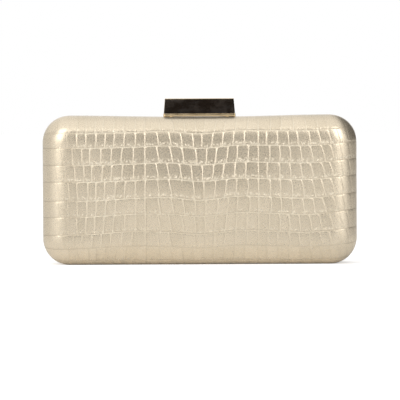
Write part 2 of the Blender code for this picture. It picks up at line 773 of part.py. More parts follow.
def add_clasp_bar(body):
    """The bar that is tipped back to open the bag. Its foot is rounded about the pin, so it rolls
    over the base without touching it."""
    outline = [(-BAR_FRONT, bar_top), (-BAR_FRONT, bar_foot)]
    outline += arc((clasp_pin_place, clasp_pin_height), HEEL_RADIUS, -90, 0, HEEL_STEPS)
    outline += [(BAR_BACK, bar_top)]
    mesh = slab_mesh("clasp_bar", outline, BAR_WIDTH, UPRIGHT)
    lean_ends(mesh)
    part = make_object("clasp_bar", mesh, parts)
    soften = part.modifiers.new("soft_edges", "BEVEL")
    soften.width = BAR_BEVEL
    soften.segments = 1
    soften.limit_method = "ANGLE"
    soften.angle_limit = math.radians(BEVEL_ANGLE)
    for name, low, high in bar_pockets():
        cut(part, box_mesh(name, low, high))
    cut(part, face_block("clasp_bar_face_bed", FACE_MARGIN, FACE_THICKNESS + FACE_BED, CUT_OVERRUN))
    reach = BAR_WIDTH / 2 + CUT_OVERRUN
    start = (-reach, clasp_pin_place, clasp_pin_height)
    end = (reach, clasp_pin_place, clasp_pin_height)
    cut(part, rod_mesh("clasp_bar_bore", CLASP_PIN_RADIUS + PIN_CLEARANCE, start, end))
    roof = bar_foot + HOOK_POCKET_HEIGHT
    screw_foot = (0.0, hook_screw_place(), roof - CUT_OVERRUN)
    screw_top = (0.0, hook_screw_place(), roof + HOOK_SCREW_LENGTH)
    radius = HOOK_SCREW_RADIUS + RIVET_CLEARANCE
    cut(part, rod_mesh("clasp_bar_screw_hole", radius, screw_foot, screw_top))
    return finish_part(part, GOLD, body)


def bar_pockets():
    """The hollows in the bar's underside: one for each ear, one for the spring, one for the hook."""
    foot = bar_foot - CUT_OVERRUN
    back = BAR_BACK - BACK_WALL
    front = clasp_pin_place - EAR_RADIUS - POCKET_GAP
    roof = clasp_pin_height + EAR_RADIUS + POCKET_GAP
    half_ear = EAR_THICKNESS / 2 + POCKET_GAP
    pockets = []
    for hand in (-1, 1):
        x = hand * ear_offset
        name = f"clasp_bar_ear_pocket_{hand_name(hand)}"
        pockets.append((name, (x - half_ear, front, foot), (x + half_ear, back, roof)))
    left = spring_start - SPRING_WIRE_RADIUS - POCKET_GAP
    right = spring_end + SPRING_WIRE_RADIUS + POCKET_GAP
    pockets.append(("clasp_bar_spring_pocket", (left, front, foot), (right, back, roof)))
    half_hook = HOOK_WIDTH / 2 + POCKET_GAP
    hook_front = -HOOK_FRONT - LAYER_GAP
    hook_back = -HOOK_FRONT + HOOK_TAIL + POCKET_GAP
    roof = bar_foot + HOOK_POCKET_HEIGHT
    pockets.append(("clasp_bar_hook_pocket", (-half_hook, hook_front, foot), (half_hook, hook_back, roof)))
    return pockets


def face_block(name, margin, depth, proud):
    """A block shaped like the bar's front, inside a margin, from depth inside the bar to proud of it."""
    low = (-BAR_WIDTH / 2 + margin, -BAR_FRONT - proud, bar_foot + margin)
    high = (BAR_WIDTH / 2 - margin, -BAR_FRONT + depth, bar_top - margin)
    mesh = box_mesh(name, low, high)
    lean_ends(mesh)
    return mesh


def add_face_plate(body):
    """The dark polished face, let into the bar's front and flush with it."""
    mesh = face_block("clasp_face_plate", FACE_MARGIN + FACE_GAP, FACE_THICKNESS, 0.0)
    return finish_part(make_object("clasp_face_plate", mesh, parts), DARK_FACE, body)


def hook_screw_place():
    return -HOOK_FRONT + (HOOK_THICKNESS + HOOK_TAIL) / 2


def add_clasp_hook(body):
    """A bent strip: a flange under the bar's roof, a web, and a foot that points back under the lip."""
    top = bar_foot + HOOK_POCKET_HEIGHT - LAYER_GAP
    nose = bar_foot - HOOK_REACH
    front = -HOOK_FRONT
    web_back = front + HOOK_THICKNESS
    outline = [
        (front, nose),
        (front + HOOK_FOOT, nose),
        (web_back, nose + HOOK_FOOT_HEIGHT),
        (web_back, top - HOOK_THICKNESS),
        (front + HOOK_TAIL, top - HOOK_THICKNESS),
        (front + HOOK_TAIL, top),
        (front, top),
    ]
    part = make_object("clasp_hook", slab_mesh("clasp_hook", outline, HOOK_WIDTH, UPRIGHT), parts)
    low = (0.0, hook_screw_place(), top - HOOK_THICKNESS - CUT_OVERRUN)
    high = (0.0, hook_screw_place(), top + CUT_OVERRUN)
    cut(part, rod_mesh("clasp_hook_screw_hole", HOOK_SCREW_RADIUS + RIVET_CLEARANCE, low, high))
    return finish_part(part, STEEL, body)


def add_hook_screw(body):
    roof = bar_foot + HOOK_POCKET_HEIGHT
    tip = roof + HOOK_SCREW_LENGTH - LAYER_GAP
    head_top = roof - LAYER_GAP - HOOK_THICKNESS - LAYER_GAP
    head_foot = head_top - HOOK_SCREW_HEAD_HEIGHT
    profile = [
        (0.0, tip),
        (HOOK_SCREW_RADIUS, tip),
        (HOOK_SCREW_RADIUS, head_top),
        (HOOK_SCREW_HEAD_RADIUS, head_top),
        (HOOK_SCREW_HEAD_RADIUS, head_foot),
        (0.0, head_foot),
    ]
    place = Matrix.Translation((0.0, hook_screw_place(), 0.0))
    return finish_part(turned_part("clasp_hook_screw", profile, place), STEEL, body)


# Soft pieces

def add_gusset(hand, body):
    """The folded cloth side that joins the two linings and stops the bag from falling open."""
    name = f"gusset_{hand_name(hand)}"
    outer = BAG_WIDTH / 2 - wall_inset - LAYER_GAP
    fold = outer - GUSSET_FOLD
    foot = CORNER_RADIUS + GUSSET_CLEARANCE
    top = BAG_HEIGHT - CORNER_RADIUS - GUSSET_CLEARANCE - GUSSET_DROP
    bm = bmesh.new()
    line = [(outer, -GUSSET_REACH), (fold, 0.0), (outer, GUSSET_REACH)]
    verts = [bm.verts.new((hand * x, y, foot)) for x, y in line]
    edges = [bm.edges.new(pair) for pair in zip(verts, verts[1:])]
    raised = bmesh.ops.extrude_edge_only(bm, edges=edges)["geom"]
    upper = [item for item in raised if isinstance(item, bmesh.types.BMVert)]
    bmesh.ops.translate(bm, vec=(0.0, 0.0, top - foot), verts=upper)
    for face in bm.faces:
        face.normal_update()
        if face.normal.x * hand < 0:
            face.normal_flip()
    mesh = bpy.data.meshes.new(name)
    bm.to_mesh(mesh)
    bm.free()
    part = make_object(name, mesh, parts)
    cloth = part.modifiers.new("cloth", "SOLIDIFY")
    cloth.thickness = GUSSET_THICKNESS
    cloth.offset = -1.0
    cloth.use_even_offset = True
    cloth.use_rim = True
    return finish_part(part, SATIN, body)


def add_slip_pocket(body):
    """A flat patch pocket against the rear lining, open at the top."""
    back = HALF_DEPTH - wall_inset - LAYER_GAP
    low = (-POCKET_WIDTH / 2, POCKET_FOOT)
    high = (POCKET_WIDTH / 2, POCKET_FOOT + POCKET_HEIGHT)
    outline = rounded_rectangle(low, high, POCKET_ROUNDING, POCKET_CORNER_STEPS)
    stand = Matrix.Rotation(math.pi / 2, 4, "X")
    placing = Matrix.Translation((0.0, back - POCKET_THICKNESS / 2, 0.0)) @ stand
    part = make_object("slip_pocket", slab_mesh("slip_pocket", outline, POCKET_THICKNESS, placing), parts)
    return finish_part(part, SATIN, body)


def add_body(name, place):
    """The empty that a moving group turns with. It stands on the group's joint axis."""
    empty = make_object(name, None, parts)
    empty.location = place
    bpy.context.view_layer.update()
    return empty


for old in list(bpy.data.objects):
    bpy.data.objects.remove(old)
parts = make_collection("clutch_bag")
cutters = make_collection("cutters")

rear_half = add_body("rear_half_base", (0.0, 0.0, 0.0))
front_half = add_body("front_half_pivot", (0.0, 0.0, hinge_height))
clasp_lever = add_body("clasp_lever_pivot", (0.0, clasp_pin_place, clasp_pin_height))

for side, body in ((1, rear_half), (-1, front_half)):
    add_cover(side, body)
    add_shell(side, body)
    add_frame(side, body)
    add_lining(side, body)
    add_plate_rivets(side, body)
    for hand in (-1, 1):
        add_hinge_leaf(side, hand, body)
        add_hinge_rivets(side, hand, body)
for hand in (-1, 1):
    add_hinge_pin(hand, rear_half)
    add_gusset(hand, rear_half)
add_slip_pocket(rear_half)
add_clasp_base(rear_half)
add_clasp_pin(rear_half)
add_clasp_spring(rear_half)
add_strike_plate(front_half)
add_clasp_bar(clasp_lever)
add_face_plate(clasp_lever)
add_clasp_hook(clasp_lever)
add_hook_screw(clasp_lever)
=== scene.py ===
# %% [markdown]
# # A hard clutch bag with a bar clasp
# This script dresses the packed solids of a box clutch: two half shells covered in an embossed,
# metallic leatherette, a gold rim on each, a bar clasp on top, and a satin lining inside.
# Each step says what the real piece is and why it is made the way it is.
# The packed model is the frame: every piece is made where the solids say, in metres.

# %% Load the frame
import math
from contextlib import contextmanager

import bmesh
import bpy
import numpy as np
from mathutils import Matrix, Vector


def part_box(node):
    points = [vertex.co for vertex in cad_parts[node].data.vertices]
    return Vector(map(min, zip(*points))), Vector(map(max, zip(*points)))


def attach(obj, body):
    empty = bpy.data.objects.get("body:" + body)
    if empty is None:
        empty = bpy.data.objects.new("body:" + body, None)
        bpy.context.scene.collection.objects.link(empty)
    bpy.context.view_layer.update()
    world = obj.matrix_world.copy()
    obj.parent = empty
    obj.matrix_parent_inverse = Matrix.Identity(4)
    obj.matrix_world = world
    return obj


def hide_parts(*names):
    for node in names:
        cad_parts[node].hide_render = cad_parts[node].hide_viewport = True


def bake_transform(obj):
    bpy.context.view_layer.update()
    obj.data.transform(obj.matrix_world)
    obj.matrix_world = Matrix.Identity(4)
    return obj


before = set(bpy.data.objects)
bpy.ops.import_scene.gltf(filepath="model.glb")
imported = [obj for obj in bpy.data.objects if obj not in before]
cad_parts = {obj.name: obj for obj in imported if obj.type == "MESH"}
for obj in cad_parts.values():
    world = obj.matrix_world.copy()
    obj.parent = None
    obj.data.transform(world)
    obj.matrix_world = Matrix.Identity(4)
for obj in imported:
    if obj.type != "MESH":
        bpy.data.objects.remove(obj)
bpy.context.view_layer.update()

MM = 0.001
scene = bpy.context.scene

# %% [markdown]
# ## The bag's main sizes
# The two halves are shallow trays that meet in the plane Y = 0. Both have the same outline, so one
# set of numbers describes every layer: the cover, the shell and the lining differ only in how far
# they lie inside the cover's face.

# %% Main sizes
BAG_WIDTH = 200 * MM
BAG_HEIGHT = 95 * MM
HALF_DEPTH = 22.5 * MM
PANEL_CROWN = 1.5 * MM
CORNER_RADIUS = 17 * MM
EDGE_RADIUS = 11.5 * MM
TOP_DIP = 1.2 * MM
DIP_HALF_WIDTH = BAG_WIDTH / 2 - CORNER_RADIUS
MIDDLE_HEIGHT = BAG_HEIGHT / 2
PANEL_HALF_WIDTH = BAG_WIDTH / 2 - EDGE_RADIUS
PANEL_HALF_HEIGHT = BAG_HEIGHT / 2 - EDGE_RADIUS
PANEL_CORNER = CORNER_RADIUS - EDGE_RADIUS
SIDE_START = HALF_DEPTH - EDGE_RADIUS
print("flat panel:", PANEL_HALF_WIDTH * 2, "by", PANEL_HALF_HEIGHT * 2, "m")

# %% [markdown]
# ## Small helpers
# Materials, the studio and the trees of geometry nodes are all made of linked nodes, and every
# piece is a mesh in an object. These few helpers take up what all of them repeat.

# %% Nodes and objects
WHITE = (1.0, 1.0, 1.0, 1.0)


def add_node(tree, kind, settings=(), output=0, **inputs):
    """A new node's output. Inputs are set or linked by name, with _ for a space, or by number after n."""
    made = tree.nodes.new(kind)
    for key, value in dict(settings).items():
        setattr(made, key, value)
    for key, value in inputs.items():
        socket = made.inputs[int(key[1:]) if key.startswith("n") else key.replace("_", " ")]
        for source in value if isinstance(value, list) else [value]:
            if isinstance(source, bpy.types.NodeSocket):
                tree.links.new(source, socket)
            else:
                socket.default_value = source
    return made.outputs[output]


def new_object(name, data):
    """An object in the scene for a mesh, a lamp or a camera."""
    made = bpy.data.objects.new(name, data)
    scene.collection.objects.link(made)
    return made


def mesh_object(name, points, faces=(), material=None, edges=()):
    """A new mesh object in the frame's own axes."""
    mesh = bpy.data.meshes.new(name)
    mesh.from_pydata([tuple(p) for p in points], list(edges), list(faces))
    if material is not None:
        mesh.materials.append(material)
    return new_object(name, mesh)


def settle(obj, body, slot, *nodes):
    """What every finished piece gets: the body it rides on, and the nodes it stands for, which it hides.
    The slot is not used.
    """
    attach(obj, body)
    if nodes:
        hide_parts(*nodes)
    return obj


print("node and object helpers ready")

# %% Meshes
MERGE = 0.001 * MM
FINE_MERGE = 0.0001 * MM


@contextmanager
def edited(mesh):
    """A mesh opened for editing, and written back afterwards."""
    bm = bmesh.new()
    bm.from_mesh(mesh)
    yield bm
    bm.to_mesh(mesh)
    bm.free()


def tidy_mesh(obj, merge=MERGE, sharp_degrees=None):
    """Merges doubles, turns the faces outwards and shades them smooth."""
    with edited(obj.data) as bm:
        bmesh.ops.remove_doubles(bm, verts=bm.verts, dist=merge)
        bmesh.ops.recalc_face_normals(bm, faces=bm.faces)
    obj.data.shade_smooth()
    if sharp_degrees is not None:
        obj.data.set_sharp_from_angle(angle=math.radians(sharp_degrees))
    return obj


def applied(obj):
    """The object with its modifiers turned into a plain mesh."""
    bpy.context.view_layer.update()
    graph = bpy.context.evaluated_depsgraph_get()
    mesh = bpy.data.meshes.new_from_object(obj.evaluated_get(graph))
    obj.modifiers.clear()
    obj.data = mesh
    return obj


def triangles(obj):
    obj.data.calc_loop_triangles()
    return len(obj.data.loop_triangles)


print("mesh helpers ready")

# %% [markdown]
# ## Camera
# The photograph looks at the front from 2 degrees above level, with a long lens, and the bag takes
# up four fifths of its width. The camera stands 2 m away, and its lens follows from the size of one
# pixel in the plane where the halves meet.

# %% Camera
PICTURE_SIDE = 400
PIXEL = 0.6405 * MM
SEAM_DISTANCE = 2.0
SENSOR = 36.0
NEAREST, FARTHEST = 0.01, 50.0
BAG_COLUMN = 199.8
GROUND_ROW = 263.3
CAMERA_RISE = math.radians(2.0)
CAMERA_ROLL = math.radians(-0.28)


def aim_camera():
    """Looks at the bag from a little above, with the photograph's framing."""
    aim = Vector(((PICTURE_SIDE / 2 - BAG_COLUMN) * PIXEL, 0.0, (GROUND_ROW - PICTURE_SIDE / 2) * PIXEL))
    data = bpy.data.cameras.new("photo_camera")
    data.sensor_width = SENSOR
    data.lens = SENSOR * SEAM_DISTANCE / (PICTURE_SIDE * PIXEL)
    data.clip_start, data.clip_end = NEAREST, FARTHEST
    camera = new_object("photo_camera", data)
    back = Vector((0.0, -math.cos(CAMERA_RISE), math.sin(CAMERA_RISE)))
    camera.location = aim + back * SEAM_DISTANCE
    look = (-back).to_track_quat("-Z", "Y")
    camera.rotation_euler = (look.to_matrix() @ Matrix.Rotation(CAMERA_ROLL, 3, "Z")).to_euler()
    return camera


scene.camera = aim_camera()
scene.view_settings.view_transform = "Standard"
print("lens:", round(scene.camera.data.lens, 1), "mm at", SEAM_DISTANCE, "m")

# %% [markdown]
# ## Building a finish
# A finish is a tree of nodes round one shader. What is the same all over is set on the shader, and
# what changes from place to place is driven by noise, cells or an attribute of the mesh. Patterns
# use the piece's own coordinates, so they move with it.

# %% Finish
class Finish:
    """A material under construction: its tree, its shader and its object coordinates."""

    def __init__(self, name, **values):
        self.material = bpy.data.materials.new(name)
        self.material.use_nodes = True
        self.tree = self.material.node_tree
        self.shader = self.tree.nodes["Principled BSDF"]
        self.place = self.node("ShaderNodeTexCoord", output="Object")
        for key, value in values.items():
            self.shader.inputs[key.replace("_", " ")].default_value = value

    def node(self, kind, settings=(), output=0, **inputs):
        return add_node(self.tree, kind, settings, output, **inputs)

    def drive(self, name, socket):
        self.tree.links.new(socket, self.shader.inputs[name])

    def math(self, operation, first, second):
        return self.node("ShaderNodeMath", {"operation": operation}, n0=first, n1=second)

    def ranged(self, value, low, high, new_low=0.0, new_high=1.0):
        """Value from low..high to new_low..new_high, held at both ends."""
        return self.node("ShaderNodeMapRange", Value=value, From_Min=low, From_Max=high,
                         To_Min=new_low, To_Max=new_high)

    def noise(self, scale, detail=2.0, roughness=0.5, place=None):
        return self.node("ShaderNodeTexNoise", Vector=place or self.place, Scale=scale, Detail=detail,
                         Roughness=roughness)

    def streaks(self, scales, detail=3.0, roughness=0.6):
        """Noise with its own scale along each axis, for drawn, brushed or woven surfaces."""
        place = self.node("ShaderNodeMapping", Vector=self.place, Scale=scales)
        return self.noise(1.0, detail, roughness, place)

    def cells(self, scale, feature="F1"):
        return self.node("ShaderNodeTexVoronoi", {"feature": feature}, Vector=self.place, Scale=scale)

    def attribute(self, name):
        return self.node("ShaderNodeAttribute", {"attribute_name": name}, "Fac")

    def blend_colour(self, share, first, second):
        """A mix of two colours, each a socket or three numbers."""
        first, second = [c if isinstance(c, bpy.types.NodeSocket) else (*c, 1.0) for c in (first, second)]
        return self.node("ShaderNodeMix", {"data_type": "RGBA"}, 2, n0=share, n6=first, n7=second)

    def tint(self, share, first, second):
        self.drive("Base Color", self.blend_colour(share, first, second))

    def bump(self, height, depth, under=None):
        """Relief of a given depth in metres, on top of another relief if there is one."""
        below = {} if under is None else {"Normal": under}
        return self.node("ShaderNodeBump", Strength=1.0, Distance=depth, Height=height, **below)


print("a finish has:", [name for name in vars(Finish) if not name.startswith("_")])

# %% [markdown]
# ## Light and floor
# A catalogue picture is lit by large soft boxes, here one on each side of the camera and a faint
# one above. The rest shows only as reflections in the metallic film: a pale room, dark behind the
# camera and on the right, with two pale strips beside the dark part. The camera itself sees a white
# backdrop. The floor takes a faint shadow where the bag stands on it.

# %% Room
SKY_LEVEL = 0.90
SIDE_LEVEL = 0.63
SKY_START, SKY_FULL = 0.05, 0.75
# Parts of the room that are darker or paler than the rest: towards where, from how wide to how
# narrow an angle about it in degrees, and how bright
ROOM_PARTS = (
    ((0.0, -1.0, 0.12), 28, 12, 0.04),
    ((1.0, 0.45, 0.0), 78, 45, 0.05),
    ((-1.0, -1.1, 0.1), 22, 5, 1.0),
    ((1.0, -1.25, 0.1), 20, 5, 1.0),
)
BACKDROP = ((0.0, 1.0, 0.0), 35, 12)


def make_room():
    """A room that is bright above, greyer at the sides, and white where the backdrop hangs."""
    world = bpy.data.worlds.new("studio")
    world.use_nodes = True
    scene.world = world
    tree = world.node_tree
    looking = add_node(tree, "ShaderNodeTexCoord", output="Generated")

    def level_towards(direction, start, full, away, near):
        """Away from a direction one level and near it another, by the cosine of the angle to it."""
        cosine = add_node(tree, "ShaderNodeVectorMath", {"operation": "DOT_PRODUCT"}, "Value",
                          n0=looking, n1=Vector(direction).normalized())
        return add_node(tree, "ShaderNodeMapRange", {"interpolation_type": "SMOOTHERSTEP"},
                        Value=cosine, From_Min=start, From_Max=full, To_Min=away, To_Max=near)

    def calculated(operation, first, second):
        return add_node(tree, "ShaderNodeMath", {"operation": operation}, n0=first, n1=second)

    level = level_towards((0, 0, 1), SKY_START, SKY_FULL, SIDE_LEVEL, SKY_LEVEL)
    for direction, wide, narrow, bright in ROOM_PARTS:
        cosines = [math.cos(math.radians(angle)) for angle in (wide, narrow)]
        level = level_towards(direction, *cosines, level, bright)
    direction, *angles = BACKDROP
    behind = level_towards(direction, *[math.cos(math.radians(angle)) for angle in angles], 0.0, 1.0)
    glossy, clear, seen = [add_node(tree, "ShaderNodeLightPath", output=f"Is {kind} Ray")
                           for kind in ("Glossy", "Transmission", "Camera")]
    mirrored = calculated("MULTIPLY", calculated("MAXIMUM", glossy, clear), behind)
    room, backdrop = [add_node(tree, "ShaderNodeBackground", Color=WHITE, Strength=s) for s in (level, 1.0)]
    covered = calculated("MAXIMUM", mirrored, seen)
    both = add_node(tree, "ShaderNodeMixShader", Fac=covered, n1=room, n2=backdrop)
    tree.links.new(both, tree.nodes["World Output"].inputs["Surface"])


make_room()
print("parts of the room:", len(ROOM_PARTS))

# %% Floor and lamps
FLOOR_SIZE = 12.0
FLOOR_COLOUR = (0.92, 0.92, 0.92, 1.0)
FLOOR_ROUGHNESS = 0.9
FLOOR_GLOW = 0.5
LAMPS = (
    # name, place, width, height, brightness
    ("left_soft_box", (-0.56, -1.25, 0.57), 0.54, 0.90, 2.65),
    ("right_soft_box", (0.54, -1.26, 0.57), 0.53, 0.90, 2.60),
    ("top_soft_box", (0.0, -0.45, 1.30), 1.60, 1.10, 0.11),
)


def make_floor():
    """A pale floor that reads white round the bag and still takes its shadow."""
    finish = Finish("pale_floor", Base_Color=FLOOR_COLOUR, Roughness=FLOOR_ROUGHNESS,
                    Specular_IOR_Level=0.0, Emission_Color=WHITE)
    seen = finish.node("ShaderNodeLightPath", output="Is Camera Ray")
    finish.drive("Emission Strength", finish.math("MULTIPLY", seen, FLOOR_GLOW))
    half = FLOOR_SIZE / 2
    corners = [(x * half, y * half, 0.0) for x, y in ((-1, -1), (1, -1), (1, 1), (-1, 1))]
    floor = mesh_object("floor", corners, [(0, 1, 2, 3)], finish.material)


def add_lamp(name, place, width, height, brightness):
    """A soft box. Its brightness is that of its face, where white paper in the scene is 1."""
    data = bpy.data.lights.new(name, "AREA")
    data.shape = "RECTANGLE"
    data.size, data.size_y = width, height
    data.energy = brightness * math.pi * width * height
    lamp = new_object(name, data)
    lamp.location = place
    aim = Vector((0.0, 0.0, MIDDLE_HEIGHT)) - Vector(place)
    lamp.rotation_euler = aim.to_track_quat("-Z", "Y").to_euler()


make_floor()
for lamp in LAMPS:
    add_lamp(*lamp)
print("lamps:", [lamp[0] for lamp in LAMPS])

# %% [markdown]
# ## Leatherette
# The cover is an imitation leather with a thin metallic film, embossed with scales. The film
# gives a soft metal sheen on top of each scale. In the grooves and pores it is less metallic, and its pale
# colour there is a painted highlight for the light that the groove walls catch.
# The scales differ a little in tone, the film carries a fine grain, and a few scales are crinkled.
# The pattern of scales is in the mesh, which also hands the finish four marks: how deep in a groove
# a point is, which also places a painted highlight, its scale's tone, how near it is to the pores
# above a row line, and how much painted shade it gets beside grooves and row lines.

# %% Leatherette
SHEET_MARKS = ("groove", "scale_tone", "pore_line", "shade")
FILM, PALE_FILM = (0.765, 0.657, 0.492), (0.825, 0.71, 0.538)
CLOUD, SHADED_FILM = (0.85, 0.755, 0.60), (0.30, 0.235, 0.155)
LIGHT_FLECK, DARK_FLECK = (0.93, 0.845, 0.70), (0.54, 0.448, 0.324)
PAINTED_HIGHLIGHT_COLOUR = (0.82, 0.74, 0.59)
PLAIN_TONES, CRINKLED_TONES = 0.97, 0.98


def make_leatherette():
    finish = Finish("embossed_leatherette", Coat_Weight=0.25, Coat_Roughness=0.18)
    groove, tone, pore_line, shade = [finish.attribute(name) for name in SHEET_MARKS]
    film = finish.blend_colour(tone, FILM, PALE_FILM)
    clouds = finish.ranged(finish.noise(30.0, 3.0), 0.35, 0.65, 0.0, 0.18)
    film = finish.blend_colour(clouds, film, CLOUD)
    fleck = finish.noise(1500.0, 3.0, 0.65)
    for full, share, colour in ((0.66, 0.20, LIGHT_FLECK), (0.34, 0.17, DARK_FLECK)):
        film = finish.blend_colour(finish.ranged(fleck, 0.50, full, 0.0, share), film, colour)
    # Painted shade: the film darkens to SHADED_FILM beside the grooves and above the row lines, where the
    # relief would be in shade.
    film = finish.blend_colour(finish.math("MULTIPLY", shade, 0.42), film, SHADED_FILM)
    dots = finish.ranged(finish.cells(780.0), 0.46, 0.30)
    pores = finish.math("MULTIPLY", dots, pore_line)
    # Painted highlight: groove floors and pore specks get a pale colour standing for the light the groove
    # walls catch, and they are also made less metallic.
    painted_highlight = finish.math("MAXIMUM", finish.ranged(groove, 0.4, 0.95, 0.0, 0.85), pores)
    finish.tint(painted_highlight, film, PAINTED_HIGHLIGHT_COLOUR)
    finish.drive("Metallic", finish.ranged(painted_highlight, 0.1, 0.9, 0.80, 0.25))
    grain = finish.noise(2300.0, 3.0, 0.6)
    rough = finish.ranged(grain, 0.3, 0.7, 0.25, 0.32)
    finish.drive("Roughness", finish.math("ADD", rough, finish.math("MULTIPLY", groove, 0.20)))
    creases = finish.ranged(finish.cells(560.0, "DISTANCE_TO_EDGE"), 0.0, 0.25)
    crinkled = finish.ranged(tone, PLAIN_TONES, CRINKLED_TONES)
    normal = finish.bump(finish.math("MULTIPLY", creases, crinkled), 0.04 * MM)
    for relief, depth in ((fleck, 0.006), (grain, 0.006), (finish.math("MULTIPLY", pores, -1.0), 0.1)):
        normal = finish.bump(relief, depth * MM, normal)
    finish.drive("Normal", normal)
    return finish.material


leatherette = make_leatherette()
print("finish:", leatherette.name)

# %% [markdown]
# ## The tray, unrolled
# A cover is cut flat and wrapped over the shell. So its pattern is laid out on the flat sheet and
# then wrapped: inside the panel a point stays where it is, past the panel's edge it runs round the
# fillet, and then straight back to the rim. The same wrap serves the linings, which lie deeper.

# %% The wrap
RIM_SNAP = 0.02 * MM
NOT_ZERO = 1e-12


def smooth(share):
    share = np.clip(share, 0.0, 1.0)
    return share * share * (3 - 2 * share)


def top_dip(x):
    share = np.minimum(np.abs(x) / DIP_HALF_WIDTH, 1.0)
    return TOP_DIP * (1 - share**2) ** 2


def run_out(inset, rim):
    """How far the flat sheet reaches past the panel's edge, to a rim this far from the seam."""
    return (EDGE_RADIUS - inset) * math.pi / 2 + SIDE_START - rim


def edge_distance(across, upward):
    """Nearest point of the panel's rounded outline, the way outwards, and how far away it is."""
    corner_x = np.maximum(np.abs(across) - (PANEL_HALF_WIDTH - PANEL_CORNER), 0.0)
    corner_z = np.maximum(np.abs(upward) - (PANEL_HALF_HEIGHT - PANEL_CORNER), 0.0)
    reach = np.hypot(corner_x, corner_z)
    safe = np.maximum(reach, NOT_ZERO)
    out_x = np.sign(across) * corner_x / safe
    out_z = np.sign(upward) * corner_z / safe
    distance = np.maximum(reach - PANEL_CORNER, 0.0)
    return across - out_x * distance, upward - out_z * distance, out_x, out_z, distance


def wrap(across, upward, inset, rim, lift=0.0):
    """Takes points of the flat sheet to the front half's tray, raised by lift off its face.
    What reaches past the rim, or almost to it, ends on it."""
    near_x, near_z, out_x, out_z, distance = edge_distance(across, upward)
    end = run_out(inset, rim)
    distance = np.where(distance > end - RIM_SNAP, end, distance)
    bend = EDGE_RADIUS - inset
    angle = np.minimum(distance / bend, math.pi / 2)
    radius = bend + lift
    past = np.maximum(distance - bend * math.pi / 2, 0.0)
    x = near_x + out_x * radius * np.sin(angle)
    z = near_z + out_z * radius * np.sin(angle)
    share_x = np.clip(near_x / PANEL_HALF_WIDTH, -1, 1)
    share_z = np.clip(near_z / PANEL_HALF_HEIGHT, -1, 1)
    crown = PANEL_CROWN * (1 - share_x**2) ** 2 * (1 - share_z**2) ** 2
    y = -(SIDE_START + radius * np.cos(angle) - past + crown)
    height_share = np.maximum(z / MIDDLE_HEIGHT, 0.0)
    return np.stack([x, y, z + MIDDLE_HEIGHT - top_dip(x) * height_share], axis=-1)


print("way round the fillet:", round(EDGE_RADIUS * math.pi / 2 / MM, 1), "mm")

# %% [markdown]
# ## The embossed covers
# The scales lie in rows that rise towards the right and dip in the middle, as on the hide that the
# embossing plate copies. Each row is divided by slightly slanted grooves. The mesh follows the
# pattern: every scale has the same small grid, crowded at its edges, so that narrow grooves are
# crisp and the smooth middles stay light. Two rows meet in the flat bottom of a groove, where one
# row's grid slides along the next.
# A texture could fake this, but only real grooves catch the light along the edges and are part of
# the mesh itself.

# %% Scale layout
# Row lines on the flat sheet at its left end: height in mm, share of the rise, depth of the line,
# and depth of the grooves in the row above the line
ROW_LINES = (
    (-20.0, 0.4, 0.6, 0.5), (-9.5, 0.4, 0.6, 0.5), (0.6, 0.45, 0.6, 0.5), (10.0, 0.95, 0.5, 0.7),
    (19.0, 1.25, 0.65, 0.8), (30.4, 1.25, 0.8, 0.95), (40.7, 1.3, 0.95, 1.0), (52.8, 1.05, 1.0, 1.0),
    (63.5, 0.95, 1.0, 0.9), (74.3, 0.97, 1.0, 0.78), (83.9, 1.05, 0.9, 0.3), (101.5, 1.0, 0.3, 0.5),
    (116.0, 1.0, 0.5, 0.5),
)
LOWEST_FULL_ROW = 19.0
HIGHEST_LOW_ROW = 52.8
# Places along the width in mm, and there: the rise of the upper rows and of the lower rows in mm,
# the lean of the grooves, the width of a scale in mm, and shares of the depth of grooves and of lines
ALONG = (-125, -100, -88, -72, -45, -19, 0, 12, 22.5, 45, 68, 85, 100, 125)
UPPER_RISE = (0.0, 0.0, 0.0, 0.1, 1.0, 2.0, 0.5, 1.3, 2.3, 1.9, 1.3, 2.3, 3.8, 4.6)
LOWER_RISE = (0.0, 0.0, 0.1, 0.5, 1.9, 1.5, 0.4, 1.2, 2.2, 1.9, 1.3, 2.2, 3.8, 4.6)
LEAN = (-0.1, -0.1, -0.14, 0.0, 0.06, -0.2, -0.03, 0.14, 0.08, 0.02, -0.15, -0.28, -0.2, -0.1)
SCALE_WIDTH = (7.4, 6.6, 6.4, 5.9, 7.2, 7.2, 6.0, 6.2, 6.6, 7.1, 7.0, 6.0, 6.2, 7.0)
GROOVE_SHARE = (0.5, 0.15, 0.35, 1, 1, 1, 1, 1, 1, 1, 1, 0.85, 0.6, 0.6)
LINE_SHARE = (0.5, 0.5, 0.6, 1, 1, 1, 1, 1, 1, 1, 1, 0.8, 0.5, 0.5)
# Two grooves run straight through all rows, where the parts of the embossing plate meet
PLATE_SEAMS = (-0.0346, 0.0372)
SEAM_CALM = 8 * MM
print("row lines:", len(ROW_LINES), "places along them:", len(ALONG))

# %% Lines of the layout
def along(values, places):
    """A smooth line through values given at the places ALONG, in mm."""
    knots = np.array(ALONG, float)
    levels = np.array(values, float)
    at = np.clip(places * 1000, knots[0], knots[-1])
    span = np.clip(np.searchsorted(knots, at, side="right") - 1, 0, len(knots) - 2)
    slopes = np.gradient(levels, knots)
    width = knots[span + 1] - knots[span]
    u = (at - knots[span]) / width
    first, second = levels[span], levels[span + 1]
    return (
        first * (2 * u**3 - 3 * u**2 + 1) + slopes[span] * width * (u**3 - 2 * u**2 + u)
        + second * (3 * u**2 - 2 * u**3) + slopes[span + 1] * width * (u**3 - u**2)
    )


def row_line(rank, across):
    """Height of a row line at places along the width, from the middle of the bag."""
    height, share, _, _ = ROW_LINES[rank]
    low_share = np.clip((HIGHEST_LOW_ROW - height) / (HIGHEST_LOW_ROW - LOWEST_FULL_ROW), 0, 1)
    rise = along(UPPER_RISE, across) * (1 - low_share) + along(LOWER_RISE, across) * low_share
    return (height + share * rise) * MM - MIDDLE_HEIGHT


